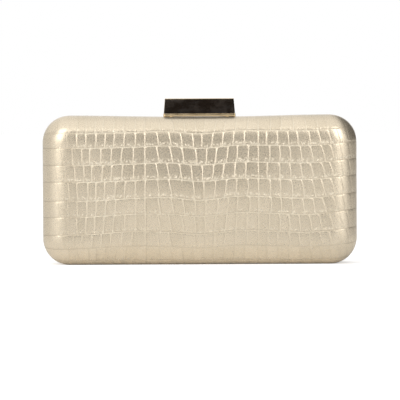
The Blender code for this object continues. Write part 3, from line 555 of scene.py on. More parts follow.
def nominal_grooves():
    """Places of the grooves along a row before they are shifted, from one end to the other."""
    end = ALONG[-1] * MM
    places = [-end]
    while places[-1] < end:
        places.append(places[-1] + float(along(SCALE_WIDTH, np.array([places[-1]]))[0]) * MM)
    places = np.array(places)
    ends = np.concatenate([[places[0]], PLATE_SEAMS, [places[-1]]])
    nearest = [int(np.abs(places - seam).argmin()) for seam in ends]
    return places + np.interp(places, places[nearest], ends - places[nearest])


def calm(places):
    """0 at the two plate seams, where grooves stay straight and in line, and 1 away from them."""
    away = np.min([np.abs(places - seam) for seam in PLATE_SEAMS], axis=0)
    return smooth(away / SEAM_CALM)


grooves = nominal_grooves()
print("scales in a row:", len(grooves) - 1, "rows:", len(ROW_LINES) - 1)

# %% [markdown]
# ## From the layout to relief
# Chance moves each groove a little, bows it, and makes some shallower, and it gives each scale its
# tone and tilt. The mesh is then built line by line: each point knows how far it is from the groove
# beside it and from the row line, and from these follow its depth and the marks for the finish.

# %% Chance
ROW_STAGGER = 1.9 * MM
STAGGER_PLACES = (-0.07, 0.0, 0.07)
GROOVE_JITTER = 0.5 * MM
GROOVE_DEPTHS = (0.7, 1.0)
GROOVE_BOWS = (-0.1, 0.5)  # mm
MISSING_GROOVES = 0.015
MISSING_DEPTH = 0.12
SCALE_TILT = 0.005


def draw_row(rng, rank):
    """What chance decides in a row: where its grooves lie, how deep they are and how they bow, and
    the tone and tilt of its scales."""
    count = len(grooves) - 1
    freedom = calm(grooves)
    shift = np.interp(grooves, STAGGER_PLACES, rng.uniform(-1, 1, 3)) * ROW_STAGGER
    edges = grooves + (shift + rng.uniform(-1, 1, count + 1) * GROOVE_JITTER) * freedom
    missing = (rng.random(count + 1) < MISSING_GROOVES) & (freedom > 0.5)
    deep = ROW_LINES[rank][3] * np.where(missing, MISSING_DEPTH, rng.uniform(*GROOVE_DEPTHS, count + 1))
    deep = deep * along(GROOVE_SHARE, edges)
    tone = rng.random(count)
    tilt = rng.uniform(-1, 1, (count, 2)) * SCALE_TILT
    bow = rng.uniform(*GROOVE_BOWS, count + 1) * MM * freedom
    return edges, deep, tone, tilt, bow


print("a row is shifted by up to", round(ROW_STAGGER / MM, 1), "mm")

# %% Relief
GROOVE_DEPTH = 0.085 * MM
GROOVE_FLAT = 0.08 * MM
GROOVE_WALL = 0.20 * MM
HAIRLINE_WALL = 0.12 * MM
GROOVE_FLOOR = 0.06 * MM
SCALE_ROUNDING = 0.9 * MM
SCALE_PUFF = 0.09 * MM
PORE_HEIGHT, PORE_BAND = 1.2, 0.6  # place above a row line and width, in mm
# The shade values set bands of painted shade in the film's colour.
SHADE_PLACE, SHADE_BAND = 0.5, 0.4  # place beside a groove and width, in mm
SIDE_SHADE, LINE_SHADE, HAIRLINE_SHADE = 0.9, 0.6, 2.2
TOP_ROW = 10  # the tall row on the upper fillet, where the grooves get a pale painted highlight but are hardly deep
TOP_ROW_FADE = 0.4
ACROSS_SHARES = (0, 0.018, 0.036, 0.058, 0.15, 0.34, 0.5, 0.66, 0.85, 0.942, 0.964, 0.982)
scale_of = np.repeat(np.arange(len(grooves) - 1), len(ACROSS_SHARES))
within = np.tile(ACROSS_SHARES, len(grooves) - 1)


def groove_depth(distance, wall):
    """1 in the flat bottom of a groove, falling to 0 at the top of its wall."""
    return 1 - smooth((distance - GROOVE_FLAT) / wall)


def band(distance, place, width):
    """1 at a distance in mm from a line, fading out over a width in mm to both sides."""
    return np.exp(-((distance / MM - place) / width) ** 2)


def scale_line(rank, up, edges, deep, tone, tilt, bow):
    """One line of points through a row at a share of its height: places, lift and the four marks."""
    width = (edges[1:] - edges[:-1])[scale_of]
    base = edges[scale_of] + within * width
    half = (row_line(rank + 1, base) - row_line(rank, base)) / 2
    off_middle = 2 * up - 1
    lean = along(LEAN, base) * calm(base)
    bent = bow[scale_of] * (1 - within) + bow[scale_of + 1] * within
    across = base + lean * off_middle * half + bent * (1 - off_middle**2)
    low = row_line(rank, across) + GROOVE_FLOOR / 2
    high = row_line(rank + 1, across) - GROOVE_FLOOR / 2
    upward = low + up * (high - low)

    from_side = np.minimum(within, 1 - within) * width
    from_line = min(up, 1 - up) * (high - low)
    side_depth = np.where(within < 0.5, deep[scale_of], deep[scale_of + 1])
    line_share = along(LINE_SHARE, across)
    line_depth = ROW_LINES[rank if up < 0.5 else rank + 1][2] * line_share
    wall = HAIRLINE_WALL + (GROOVE_WALL - HAIRLINE_WALL) * line_share
    corner = SCALE_ROUNDING - np.hypot(
        np.maximum(SCALE_ROUNDING - from_side, 0), np.maximum(SCALE_ROUNDING - from_line, 0))
    groove = np.maximum.reduce([
        side_depth * groove_depth(from_side, GROOVE_WALL),
        line_depth * groove_depth(from_line, wall),
        np.minimum(side_depth, line_depth) * groove_depth(corner, GROOVE_WALL)])
    dome = np.sqrt(np.clip(4 * within * (1 - within), 0, 1)) * side_depth + (1 - side_depth)
    dome = dome * (math.sqrt(max(4 * up * (1 - up), 0.0)) * line_share + (1 - line_share))
    turn = tilt[scale_of, 0] * (within - 0.5) * width + tilt[scale_of, 1] * (up - 0.5) * (high - low)
    lift = -GROOVE_DEPTH * groove - SCALE_PUFF * (1 - dome) + turn * (1 - groove)

    # pale places the painted highlight in the grooves. On the top row it reaches up the groove's sides
    # where the groove is hardly deep, and line_share fades it out towards the bag's sides.
    pale = groove
    if rank == TOP_ROW:
        fading = 1 - smooth((up - TOP_ROW_FADE) / TOP_ROW_FADE)
        pale = np.maximum(groove, groove_depth(from_side, GROOVE_WALL) * fading)
    pore = band(upward - low, PORE_HEIGHT, PORE_BAND)
    # Painted shade: a band on the side of each scale turned away from the bag's middle, a band above each
    # row line, and dark hairlines on the sides, where the relief would fall into shade.
    outer_side = np.where(across < 0, within, 1 - within) * width
    shade = np.maximum.reduce([
        side_depth * SIDE_SHADE * band(outer_side, SHADE_PLACE, SHADE_BAND),
        line_share * LINE_SHADE * band(upward - low, SHADE_PLACE, SHADE_BAND),
        HAIRLINE_SHADE * groove_depth(from_line, wall) * (1 - line_share)])
    return np.stack([across, upward, lift, pale * line_share**2, tone[scale_of], pore * line_depth, shade])


print("a groove is", round((GROOVE_FLAT + GROOVE_WALL) / MM, 2), "mm wide on each side of its middle")

# %% The embossed sheet
UPWARD_SHARES = (0, 0.012, 0.024, 0.038, 0.11, 0.3, 0.5, 0.7, 0.89, 0.962, 0.976, 0.988, 1)


def scale_sheet(seed):
    """The embossed sheet: flat places across and upward, lift off the face, and the four marks."""
    rng = np.random.default_rng(seed)
    sheet = []
    for rank in range(len(ROW_LINES) - 1):
        drawn = draw_row(rng, rank)
        sheet += [scale_line(rank, up, *drawn) for up in UPWARD_SHARES]
    return np.stack(sheet, axis=1)


print("points in a line:", len(within), "lines:", (len(ROW_LINES) - 1) * len(UPWARD_SHARES))

# %% [markdown]
# ## Sheets with two sides
# Cover and lining are walls with some thickness. Each is made of two wrapped skins, a detailed one
# that is seen and a plain one behind it, and a strip of triangles round the rim joins the two. The
# rear half's sheets are the front half's, turned half round.

# %% Wrapped skins
GRID_MARGIN = 0.1 * MM
BACK_GRID = (61, 37)  # columns and lines of a skin that isn't seen


def grid_faces(keep):
    """Faces between the points of a grid, where keep is true."""
    columns = keep.shape[1] + 1
    firsts = (np.argwhere(keep) @ (columns, 1)).tolist()
    return [(first, first + 1, first + 1 + columns, first + columns) for first in firsts]


def flat_grid(inset, rim, columns, lines):
    """An even grid over the flat sheet. Its outermost lines reach past the rim."""
    reach = run_out(inset, rim) + GRID_MARGIN
    return np.meshgrid(
        np.linspace(-PANEL_HALF_WIDTH - reach, PANEL_HALF_WIDTH + reach, columns),
        np.linspace(-PANEL_HALF_HEIGHT - reach, PANEL_HALF_HEIGHT + reach, lines))


def skin(across, upward, inset, rim, lift=0.0):
    """A wrapped grid: its points, and the faces that have at least one corner on the sheet."""
    inside = edge_distance(across, upward)[4] < run_out(inset, rim) - RIM_SNAP
    keep = inside[:-1, :-1] | inside[1:, :-1] | inside[:-1, 1:] | inside[1:, 1:]
    return wrap(across, upward, inset, rim, lift).reshape(-1, 3), grid_faces(keep)


print("grid behind a sheet:", BACK_GRID)

# %% Open edges
def bearing(vert):
    """Where a vertex lies round the bag's middle, as an angle seen from the front."""
    return math.atan2(vert.co.z - MIDDLE_HEIGHT, vert.co.x)


def open_loops(bm):
    """The open edges of a mesh as loops of vertices, anticlockwise seen from the front."""
    # A dict keeps the edges in order, where a set would give other loops in each run
    edges = dict.fromkeys(edge for edge in bm.edges if edge.is_boundary)
    loops = []
    while edges:
        edge, _ = edges.popitem()
        first, vert = edge.verts
        loop = [first]
        while vert is not first:
            loop.append(vert)
            edge = next(link for link in vert.link_edges if link in edges)
            edges.pop(edge, None)
            vert = edge.other_vert(vert)
        angles = [bearing(vert) for vert in loop]
        pairs = zip(angles, angles[1:] + angles[:1])
        steps = [(b - a + math.pi) % (2 * math.pi) - math.pi for a, b in pairs]
        if sum(steps) < 0:
            loop.reverse()
        loops.append(loop)
    return loops


print("helpers for open edges ready")

# %% Closing the rim
SHEET_MERGE = 0.002 * MM
SLIT_POINTS = 60  # an open loop with fewer points is a slit that the clipping left on the rim
PAST_HALF_TURN = 4.0  # an angle that is larger than any other


def join_rims(bm, one, two):
    """Closes the gap between two loops with triangles, always going on along the loop that lags behind."""
    rims = []
    for loop in (one, two):
        angles = [bearing(vert) for vert in loop]
        start = angles.index(min(angles))
        rims.append((loop[start:] + loop[:start], sorted(angles) + [PAST_HALF_TURN, math.inf]))
    (one, one_angles), (two, two_angles) = rims
    i = j = 0
    while i < len(one) or j < len(two):
        a, b = one[i % len(one)], two[j % len(two)]
        if one_angles[i + 1] <= two_angles[j + 1]:
            i += 1
            bm.faces.new((a, one[i % len(one)], b))
        else:
            j += 1
            bm.faces.new((a, two[j % len(two)], b))


def close_rim(mesh):
    """Joins the open edges of two skins, so that they are one closed wall."""
    with edited(mesh) as bm:
        bmesh.ops.remove_doubles(bm, verts=bm.verts, dist=SHEET_MERGE)
        bmesh.ops.delete(bm, geom=[edge for edge in bm.edges if not edge.link_faces], context="EDGES")
        bmesh.ops.delete(bm, geom=[vert for vert in bm.verts if not vert.link_faces], context="VERTS")
        rims = []
        for loop in open_loops(bm):
            if len(loop) < SLIT_POINTS:
                bm.faces.new(loop)
            else:
                rims.append(loop)
        finer, coarser = sorted(rims, key=len, reverse=True)
        join_rims(bm, finer, coarser)


def two_sided(name, half, seen, behind, material, marks=()):
    """A closed sheet from two skins, with marks on the points of the one that is seen."""
    points = np.vstack([seen[0], behind[0]])
    if half == "rear":
        points = points * (-1.0, -1.0, 1.0)
    faces = seen[1] + [tuple(len(seen[0]) + index for index in corners) for corners in behind[1]]
    sheet = mesh_object(name, points, faces, material)
    for label, values in zip(SHEET_MARKS, marks):
        layer = sheet.data.attributes.new(label, "FLOAT", "POINT")
        layer.data.foreach_set("value", np.append(values, np.zeros(len(behind[0]))).astype(np.float32))
    close_rim(sheet.data)
    return sheet


def lay_on_shell(sheet, half, slot, node):
    """Attaches a wrapped sheet to the half it rides on, and hides the solid it stands for."""
    settle(sheet, f"{half}_half", slot, node)
    return sheet


print("sheet helpers ready")

# %% Covers
COVER_SEEDS = (("front", 11), ("rear", 29))
COVER_THICKNESS = 0.9 * MM
COVER_RIM = 2.05 * MM
HEM_WIDTH = 1.6 * MM
HEM_DROP = 0.22 * MM
EDGE_EASE = 6.5 * MM
LEAST_FACE = -0.01 * MM


def edge_ease(across, upward):
    """How far the face lies back, because it starts to bend before the panel's edge."""
    past_x = np.abs(across) - (PANEL_HALF_WIDTH - PANEL_CORNER)
    past_z = np.abs(upward) - (PANEL_HALF_HEIGHT - PANEL_CORNER)
    past = np.hypot(np.maximum(past_x, 0), np.maximum(past_z, 0)) - PANEL_CORNER
    past += np.minimum(np.maximum(past_x, past_z), 0)
    eased = np.clip(past + EDGE_EASE, 0, 2 * EDGE_EASE) ** 3 / (12 * EDGE_EASE * EDGE_RADIUS)
    back = eased - np.clip(past, 0, EDGE_EASE) ** 2 / (2 * EDGE_RADIUS)
    return back * np.cos(np.clip(past / EDGE_RADIUS, 0, math.pi / 2))


def make_cover(half, seed):
    across, upward, lift, *marks = scale_sheet(seed)
    hem = smooth((run_out(0.0, COVER_RIM) - edge_distance(across, upward)[4]) / HEM_WIDTH)
    lift = np.minimum(lift * hem - HEM_DROP * (1 - hem), LEAST_FACE) - edge_ease(across, upward)
    seen = skin(across, upward, 0.0, COVER_RIM, lift)
    behind = skin(*flat_grid(0.0, COVER_RIM, *BACK_GRID), 0.0, COVER_RIM, -COVER_THICKNESS)
    marks = [mark * fade for mark, fade in zip(marks, (hem, 1.0, hem, hem))]
    cover = two_sided(f"{half}_embossed_cover", half, seen, behind, leatherette, marks)
    tidy_mesh(cover)
    return lay_on_shell(cover, half, "leatherette", f"{half}_cover")


covers = [make_cover(half, seed) for half, seed in COVER_SEEDS]
print("triangles of the covers:", [triangles(cover) for cover in covers])

# %% [markdown]
# ## The other finishes
# The metal parts are thinly plated in pale gold and polished, with hair-fine scratches and a
# slightly uneven sheen. The face of the clasp is a glossy plate painted near black with faint smudges: the
# dark colour is a painted reflection of the dark room in its polished face. The lining is a satin with fine
# threads in one direction, and the stitches are a matching thread.

# %% Metal and the painted face
def make_gold():
    finish = Finish("pale_gold_plating", Metallic=1.0)
    hair = finish.streaks((300.0, 6000.0, 6000.0))
    haze = finish.noise(90.0, 3.0)
    finish.drive("Roughness", finish.math(
        "ADD", finish.ranged(haze, 0.35, 0.65, 0.13, 0.24), finish.ranged(hair, 0.5, 0.75, 0.0, 0.1)))
    finish.tint(finish.ranged(haze, 0.3, 0.7), (0.89, 0.675, 0.395), (0.95, 0.75, 0.465))
    finish.drive("Normal", finish.bump(hair, 0.004 * MM))
    return finish.material


def make_painted_reflection_face():
    finish = Finish("dark_polished_inlay", Coat_Weight=0.2, Coat_Roughness=0.04)
    smudge = finish.noise(110.0, 4.0, 0.65)
    wipe = finish.streaks((90.0, 90.0, 420.0), 2.0, 0.5)
    finish.drive("Roughness", finish.math(
        "ADD", finish.ranged(smudge, 0.45, 0.7, 0.05, 0.2), finish.ranged(wipe, 0.5, 0.7, 0.0, 0.07)))
    # Painted reflection: the near-black tint stands for the dark room mirrored in the polished gold face.
    finish.tint(finish.ranged(smudge, 0.5, 0.75), (0.013, 0.0085, 0.0055), (0.03, 0.020, 0.0125))
    return finish.material


def make_steel():
    finish = Finish("bright_spring_steel", Metallic=1.0)
    drawn = finish.streaks((500.0, 5000.0, 5000.0))
    finish.drive("Roughness", finish.ranged(drawn, 0.3, 0.7, 0.2, 0.36))
    finish.tint(drawn, (0.50, 0.50, 0.51), (0.62, 0.62, 0.63))
    finish.drive("Normal", finish.bump(drawn, 0.004 * MM))
    return finish.material


gold, painted_reflection_face, steel = make_gold(), make_painted_reflection_face(), make_steel()
print("metal finishes:", [material.name for material in (gold, painted_reflection_face, steel)])

# %% Cloth, thread and plastic
def make_satin(name, pale, deep):
    finish = Finish(name, Sheen_Weight=0.35, Sheen_Roughness=0.35, Specular_IOR_Level=0.4)
    weave = finish.node("ShaderNodeTexWave", {"bands_direction": "DIAGONAL"}, "Fac",
                        Vector=finish.place, Scale=900.0, Distortion=0.6, Detail=1.0)
    slub = finish.streaks((60.0, 60.0, 1400.0))
    cloud = finish.ranged(finish.noise(45.0), 0.3, 0.7, 0.6, 1.0)
    finish.tint(finish.math("MULTIPLY", finish.ranged(slub, 0.3, 0.7, 0.2, 1.0), cloud), deep, pale)
    finish.drive("Roughness", finish.ranged(slub, 0.3, 0.7, 0.34, 0.5))
    finish.drive("Normal", finish.bump(slub, 0.04 * MM, finish.bump(weave, 0.03 * MM)))
    return finish.material


def make_thread():
    finish = Finish("lining_thread", Roughness=0.5, Sheen_Weight=0.3)
    ply = finish.noise(2400.0)
    finish.tint(ply, (0.42, 0.34, 0.24), (0.62, 0.53, 0.40))
    finish.drive("Normal", finish.bump(ply, 0.03 * MM))
    return finish.material


def make_moulded():
    finish = Finish("moulded_shell_plastic")
    flow = finish.noise(120.0, 4.0)
    finish.tint(flow, (0.15, 0.13, 0.115), (0.21, 0.19, 0.165))
    finish.drive("Roughness", finish.ranged(flow, 0.3, 0.7, 0.52, 0.68))
    finish.drive("Normal", finish.bump(finish.noise(3000.0), 0.02 * MM))
    return finish.material


satin = make_satin("champagne_satin", (0.50, 0.41, 0.30), (0.38, 0.30, 0.21))
binding = make_satin("satin_binding", (0.56, 0.46, 0.34), (0.44, 0.35, 0.25))
thread, moulded = make_thread(), make_moulded()
print("soft finishes:", [material.name for material in (satin, binding, thread, moulded)])

# %% [markdown]
# ## Geometry nodes
# What follows a path or repeats is made by small trees of geometry nodes: a section swept along a
# rim, a wire along a coil, stitches along a seam, rivets at a set of places. Each tree has named
# inputs for its sizes. The result is turned into a plain mesh, so that nothing stays live.

# %% Making and running a tree
def make_tree(name, build, **inputs):
    """A tree with named inputs. It runs build on them, realizes the instances and sets the material."""
    tree = bpy.data.node_groups.new(name, "GeometryNodeTree")
    tree.interface.new_socket("Geometry", in_out="OUTPUT", socket_type="NodeSocketGeometry")
    for label, kind in {"Geometry": "Geometry", **inputs, "Material": "Material"}.items():
        tree.interface.new_socket(label.replace("_", " "), in_out="INPUT", socket_type=f"NodeSocket{kind}")
    given = tree.nodes.new("NodeGroupInput").outputs

    def node(kind, settings=(), output=0, **values):
        return add_node(tree, kind if "Node" in kind else f"GeometryNode{kind}", settings, output, **values)

    real = node("RealizeInstances", Geometry=build(node, given))
    shaded = node("SetShadeSmooth", Geometry=real, Shade_Smooth=True)
    painted = node("SetMaterial", Geometry=shaded, Material=given["Material"])
    tree.links.new(painted, tree.nodes.new("NodeGroupOutput").inputs[0])
    return tree


def grow(name, tree, points, edges=(), **values):
    """Runs a tree on a few points and edges, and keeps the result as a plain mesh."""
    grown = mesh_object(name, points, edges=edges)
    modifier = grown.modifiers.new(tree.name, "NODES")
    modifier.node_group = tree
    for socket in tree.interface.items_tree:
        label = socket.name.replace(" ", "_")
        if socket.in_out == "INPUT" and label in values:
            modifier[socket.identifier] = values[label]
    return applied(grown)


def loop_edges(count, closed=True):
    return [(k, (k + 1) % count) for k in range(count if closed else count - 1)]


print("edges of a loop of three:", loop_edges(3))

# %% Trees for wires, sections, stitches and rivets
BEAD_SEGMENTS, BEAD_RINGS = 8, 6
RIVET_SEGMENTS, RIVET_RINGS = 24, 10


def build_wire(node, given):
    """A round wire along a path."""
    path = node("MeshToCurve", Mesh=given["Geometry"])
    ring = node("CurvePrimitiveCircle", Resolution=given["Sides"], Radius=given["Radius"])
    return node("CurveToMesh", Curve=path, Profile_Curve=ring, Fill_Caps=True)


def build_section(node, given):
    """A drawn section swept round a flat path. The path lies in XY, and the section's X points inwards."""
    path = node("MeshToCurve", Mesh=given["Geometry"])
    level = node("SetCurveNormal", {"mode": "Z_UP"}, Curve=path)
    drawn = node("ObjectInfo", output="Geometry", Object=given["Section"])
    return node("CurveToMesh", Curve=level, Profile_Curve=node("MeshToCurve", Mesh=drawn))


def build_stitches(node, given):
    """Short lengths of thread laid along a seam."""
    path = node("MeshToCurve", Mesh=given["Geometry"])
    places = node("CurveToPoints", {"mode": "LENGTH"}, Curve=path, Length=given["Pitch"])
    along_seam = places.node.outputs["Tangent"]
    turn = node("FunctionNodeAlignRotationToVector", {"axis": "X"}, Vector=along_seam)
    bead = node("MeshUVSphere", Segments=BEAD_SEGMENTS, Rings=BEAD_RINGS, Radius=0.5)
    thick = given["Thickness"]
    size = node("ShaderNodeCombineXYZ", X=given["Length"], Y=thick, Z=thick)
    return node("InstanceOnPoints", Points=places, Instance=bead, Rotation=turn, Scale=size)


def build_rivets(node, given):
    """Rivets that stand on their feet: a shank with a low domed head at its upper or lower end."""
    shank = node("MeshCylinder", Vertices=RIVET_SEGMENTS, Radius=given["Shank Radius"],
                 Depth=given["Shank Length"])
    ball = node("MeshUVSphere", Segments=RIVET_SEGMENTS, Rings=RIVET_RINGS, Radius=1.0)
    wide = given["Head Radius"]
    size = node("ShaderNodeCombineXYZ", X=wide, Y=wide, Z=given["Head Height"])
    lift = node("ShaderNodeCombineXYZ", Z=given["Head Place"])
    head = node("Transform", Geometry=ball, Translation=lift, Scale=size)
    whole = node("JoinGeometry", Geometry=[shank, head])
    return node("InstanceOnPoints", Points=given["Geometry"], Instance=whole)


round_wire = make_tree("round_wire", build_wire, Radius="Float", Sides="Int")
swept_section = make_tree("swept_section", build_section, Section="Object")
stitch_row = make_tree("stitches", build_stitches, Pitch="Float", Length="Float", Thickness="Float")
rivet_set = make_tree("rivets", build_rivets, Shank_Radius="Float", Shank_Length="Float",
                      Head_Radius="Float", Head_Height="Float", Head_Place="Float")
print("trees:", [tree.name for tree in (round_wire, swept_section, stitch_row, rivet_set)])

# %% [markdown]
# ## The rim frames
# A hard clutch gets its strength from two metal hoops, one on each half. Each is a bent strip: a
# bevelled band that shows along the seam, and a skirt inside the shell that the lining is glued to.
# One section swept along the outline makes the whole hoop. Its corners are rounded with several
# small faces, so that they catch the light as polished metal does. Two notches in its lower edge
# leave room for the hinges.

# %% Outline and section
CORNER_POINTS = 20
TOP_EDGE_POINTS = 40
ROUNDING_STEPS = 3


def outline(inset):
    """The bag's outline at a distance inside its edge, with the dip in its top, anticlockwise."""
    radius = CORNER_RADIUS - inset
    half_width, half_height = BAG_WIDTH / 2 - CORNER_RADIUS, BAG_HEIGHT / 2 - CORNER_RADIUS
    points = []
    for sign_x, sign_z, start in ((1, -1, -90), (1, 1, 0), (-1, 1, 90), (-1, -1, 180)):
        for rank in range(CORNER_POINTS + 1):
            angle = math.radians(start + 90 * rank / CORNER_POINTS)
            points.append((sign_x * half_width + radius * math.cos(angle),
                           sign_z * half_height + radius * math.sin(angle)))
        if sign_z > 0 and sign_x > 0:
            points += [(half_width - 2 * half_width * rank / TOP_EDGE_POINTS, half_height + radius)
                       for rank in range(1, TOP_EDGE_POINTS)]
    x, z = np.array(points).T
    dip = top_dip(x) * np.maximum(z / MIDDLE_HEIGHT, 0)
    return np.stack([x, z + MIDDLE_HEIGHT - dip, np.zeros_like(x)], axis=-1)


def rounded_section(corners, radii):
    """A closed section whose corners are rounded by their own radii."""
    points = []
    for rank, (corner, radius) in enumerate(zip(corners, radii)):
        corner = Vector(corner)
        before = (Vector(corners[rank - 1]) - corner).normalized()
        after = (Vector(corners[(rank + 1) % len(corners)]) - corner).normalized()
        for stop in range(ROUNDING_STEPS + 1):
            u = stop / ROUNDING_STEPS
            points.append(corner + before * radius * (1 - u) ** 2 + after * radius * u**2)
    return points


def upright(obj, half):
    """Stands up what was made lying in XY, its depth to the front, and turns it round for the rear half."""
    turn = Matrix.Rotation(math.pi / 2, 4, "X")
    if half == "rear":
        turn = Matrix.Rotation(math.pi, 4, "Z") @ turn
    obj.data.transform(turn)


def cut_away(obj, boxes):
    """Cuts blocks out of a closed piece. Each block is given by two corners."""
    cutters = []
    for low, high in boxes:
        cutter = new_object("cutter", bpy.data.meshes.new("cutter"))
        with edited(cutter.data) as bm:
            bmesh.ops.create_cube(bm, size=1)
            bmesh.ops.scale(bm, vec=high - low, verts=bm.verts)
            bmesh.ops.translate(bm, vec=(low + high) / 2, verts=bm.verts)
        cut = obj.modifiers.new("cut", "BOOLEAN")
        cut.operation, cut.solver, cut.object = "DIFFERENCE", "EXACT", cutter
        cutters.append(cutter)
    applied(obj)
    for cutter in cutters:
        bpy.data.objects.remove(cutter)


print("points of the outline:", len(outline(0.0)))

# %% Rim frames
FRAME_FACE = 0.15 * MM
FRAME_WIDTH = 1.85 * MM
FRAME_STEP = 0.5 * MM
FRAME_BEVEL = 0.9 * MM
FRAME_BEVEL_RUN = 1.25 * MM
SKIRT_OUTER = 2.8 * MM
SKIRT_INNER = 3.6 * MM
SKIRT_END = 6.0 * MM
FRAME_ROUNDINGS = [MM * radius for radius in (0.2, 0.3, 0.15, 0.1, 0.15, 0.15, 0.25)]
HINGE_OFFSET = 48.5 * MM
HINGE_ROOM = 6.6 * MM
RIM_END = 2.3 * MM
ROOM_FOOT = -2 * MM
LEAF_TOP = 3.0 * MM
SIGNS = (("left", -1), ("right", 1))


def make_rim(half):
    end = FRAME_FACE + FRAME_WIDTH
    corners = [
        (FRAME_BEVEL, FRAME_FACE), (0.0, FRAME_FACE + FRAME_BEVEL_RUN), (0.0, end), (SKIRT_OUTER, end),
        (SKIRT_OUTER, SKIRT_END), (SKIRT_INNER, SKIRT_END), (SKIRT_INNER, FRAME_FACE),
    ]
    drawn = [(-p.x, -p.y, 0.0) for p in rounded_section(corners, FRAME_ROUNDINGS)]
    section = mesh_object("rim_section", drawn, edges=loop_edges(len(drawn)))
    path = outline(FRAME_STEP)
    rim = grow(f"{half}_rim", swept_section, path, loop_edges(len(path)), Section=section, Material=gold)
    bpy.data.objects.remove(section)
    upright(rim, half)
    tidy_mesh(rim)
    cut_away(rim, [(Vector((sign * HINGE_OFFSET - HINGE_ROOM, -RIM_END, ROOM_FOOT)),
                    Vector((sign * HINGE_OFFSET + HINGE_ROOM, RIM_END, LEAF_TOP))) for _, sign in SIGNS])
    tidy_mesh(rim, sharp_degrees=40)
    return settle(rim, f"{half}_half", "gold_metal", f"{half}_frame")


rims = [make_rim(half) for half in ("front", "rear")]
print("triangles of the rims:", [triangles(rim) for rim in rims])

# %% [markdown]
# ## Metal pieces from the solids
# The clasp plates, the bar, the hook and the hinge leaves have the right shape in the packed model,
# but their edges are knife sharp and their faces are loose triangles. Real plated parts have edges
# rounded by polishing, and these are what catches the light. So each is copied, its triangles are
# merged into whole faces, and a small bevel goes round its edges.

# %% Polished copies of the solids
POLISHED = (
    # piece, solid, rounding of its edges, finish, body, slot
    ("polished_strike_plate", "strike_plate", 0.12 * MM, gold, "front_half", "gold_metal"),
    ("polished_clasp_base", "clasp_base", 0.12 * MM, gold, "rear_half", "gold_metal"),
    ("polished_clasp_bar", "clasp_bar", 0.10 * MM, gold, "clasp_lever", "gold_metal"),
    ("bent_hook", "clasp_hook", 0.08 * MM, steel, "clasp_lever", "spring_steel"),
)
FLAT_DEGREES, EDGE_DEGREES = 1.0, 30
PLATE_FOOT_REACH = 0.3 * MM
PLATE_DROP = 0.32 * MM


def polish(obj, rounding, segments=2):
    """Rounds the edges of a piece and shades its flat faces flat."""
    obj.data.shade_smooth()
    edge = obj.modifiers.new("rounded_edges", "BEVEL")
    edge.width, edge.segments, edge.angle_limit = rounding, segments, math.radians(EDGE_DEGREES)
    obj.modifiers.new("flat_faces", "WEIGHTED_NORMAL").keep_sharp = True
    return applied(obj)


def polished(name, node, rounding, material, body, slot):
    """A copy of a solid with whole faces, rounded edges and clean shading."""
    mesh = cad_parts[node].data.copy()
    mesh.name = name
    with edited(mesh) as bm:
        bmesh.ops.remove_doubles(bm, verts=bm.verts, dist=SHEET_MERGE)
        bmesh.ops.dissolve_limit(bm, angle_limit=math.radians(FLAT_DEGREES), verts=bm.verts, edges=bm.edges)
        bmesh.ops.recalc_face_normals(bm, faces=bm.faces)
    mesh.materials.clear()
    mesh.materials.append(material)
    return settle(polish(new_object(name, mesh), rounding), body, slot, node)


def lower_foot(obj, foot):
    """Lets the foot of a plate down onto the covers, which dip in the middle."""
    for vert in obj.data.vertices:
        if vert.co.z < foot + PLATE_FOOT_REACH:
            vert.co.z -= PLATE_DROP


clasp_pieces = [polished(*row) for row in POLISHED]
lower_foot(clasp_pieces[1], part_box("clasp_base")[0].z)
print("clasp:", [(piece.name, triangles(piece)) for piece in clasp_pieces])

# %% Face plate and hinge leaves
LEAF_ROUNDING = 0.08 * MM
FACE_REVEAL = 0.06 * MM
FACE_TOP_REVEAL = 0.35 * MM
FACE_GAP = 0.05 * MM
FACE_PROUD = 0.12 * MM
FACE_TAPER = 0.8 * MM
FACE_ROUNDING = 0.08 * MM
FACE_SEGMENTS = 3


def make_face_plate():
    """The glossy face: a thin plate over the whole front of the bar, with its edges rounded."""
    low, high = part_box("clasp_bar")
    foot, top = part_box("strike_plate")[1].z + FACE_GAP, high.z - FACE_TOP_REVEAL
    wide = high.x - FACE_REVEAL
    corners = [(-wide, foot), (wide, foot), (wide - FACE_TAPER, top), (-wide + FACE_TAPER, top)]
    back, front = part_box("clasp_face_plate")[1].y, low.y - FACE_PROUD
    points = [(x, y, z) for y in (back, front) for x, z in corners]
    sides = [(k, (k + 1) % 4, (k + 1) % 4 + 4, k + 4) for k in range(4)]
    plate = mesh_object("glossy_face_plate", points, [(3, 2, 1, 0), (4, 5, 6, 7)] + sides, painted_reflection_face)
    polish(plate, FACE_ROUNDING, FACE_SEGMENTS)
    return settle(plate, "clasp_lever", "dark_face", "clasp_face_plate")


face_plate = make_face_plate()
leaves = [
    polished(f"polished_leaf_{half}_{hand}", f"hinge_leaf_{half}_{hand}", LEAF_ROUNDING, gold,
             f"{half}_half", "gold_metal")
    for half in ("front", "rear") for hand, _ in SIGNS]
print("face and leaves:", [(piece.name, triangles(piece)) for piece in [face_plate, *leaves]])

# %% [markdown]
# ## Pins, rivets and the spring
# Pins are turned on a lathe and have rounded ends. Rivets are all alike, so one small tree sets
# them at their places. The spring is a wire wound round the clasp pin, with one leg on the base and
# one against the bar.

# %% Pins
PIN_SIDES = 32
PIN_ROUNDING = 0.15 * MM
ROUNDED_SHARE = 0.3
HINGE_HEIGHT = 1.4 * MM
HINGE_PIN = (0.6 * MM, 5.8 * MM)  # radius and half length between the heads
PIN_HEAD = (1.0 * MM, 0.5 * MM)  # radius and length
CLASP_PIN_PLACE = 2.8 * MM
CLASP_PIN_HEIGHT = 99.478 * MM
CLASP_PIN = (0.75 * MM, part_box("clasp_pin")[1].x)


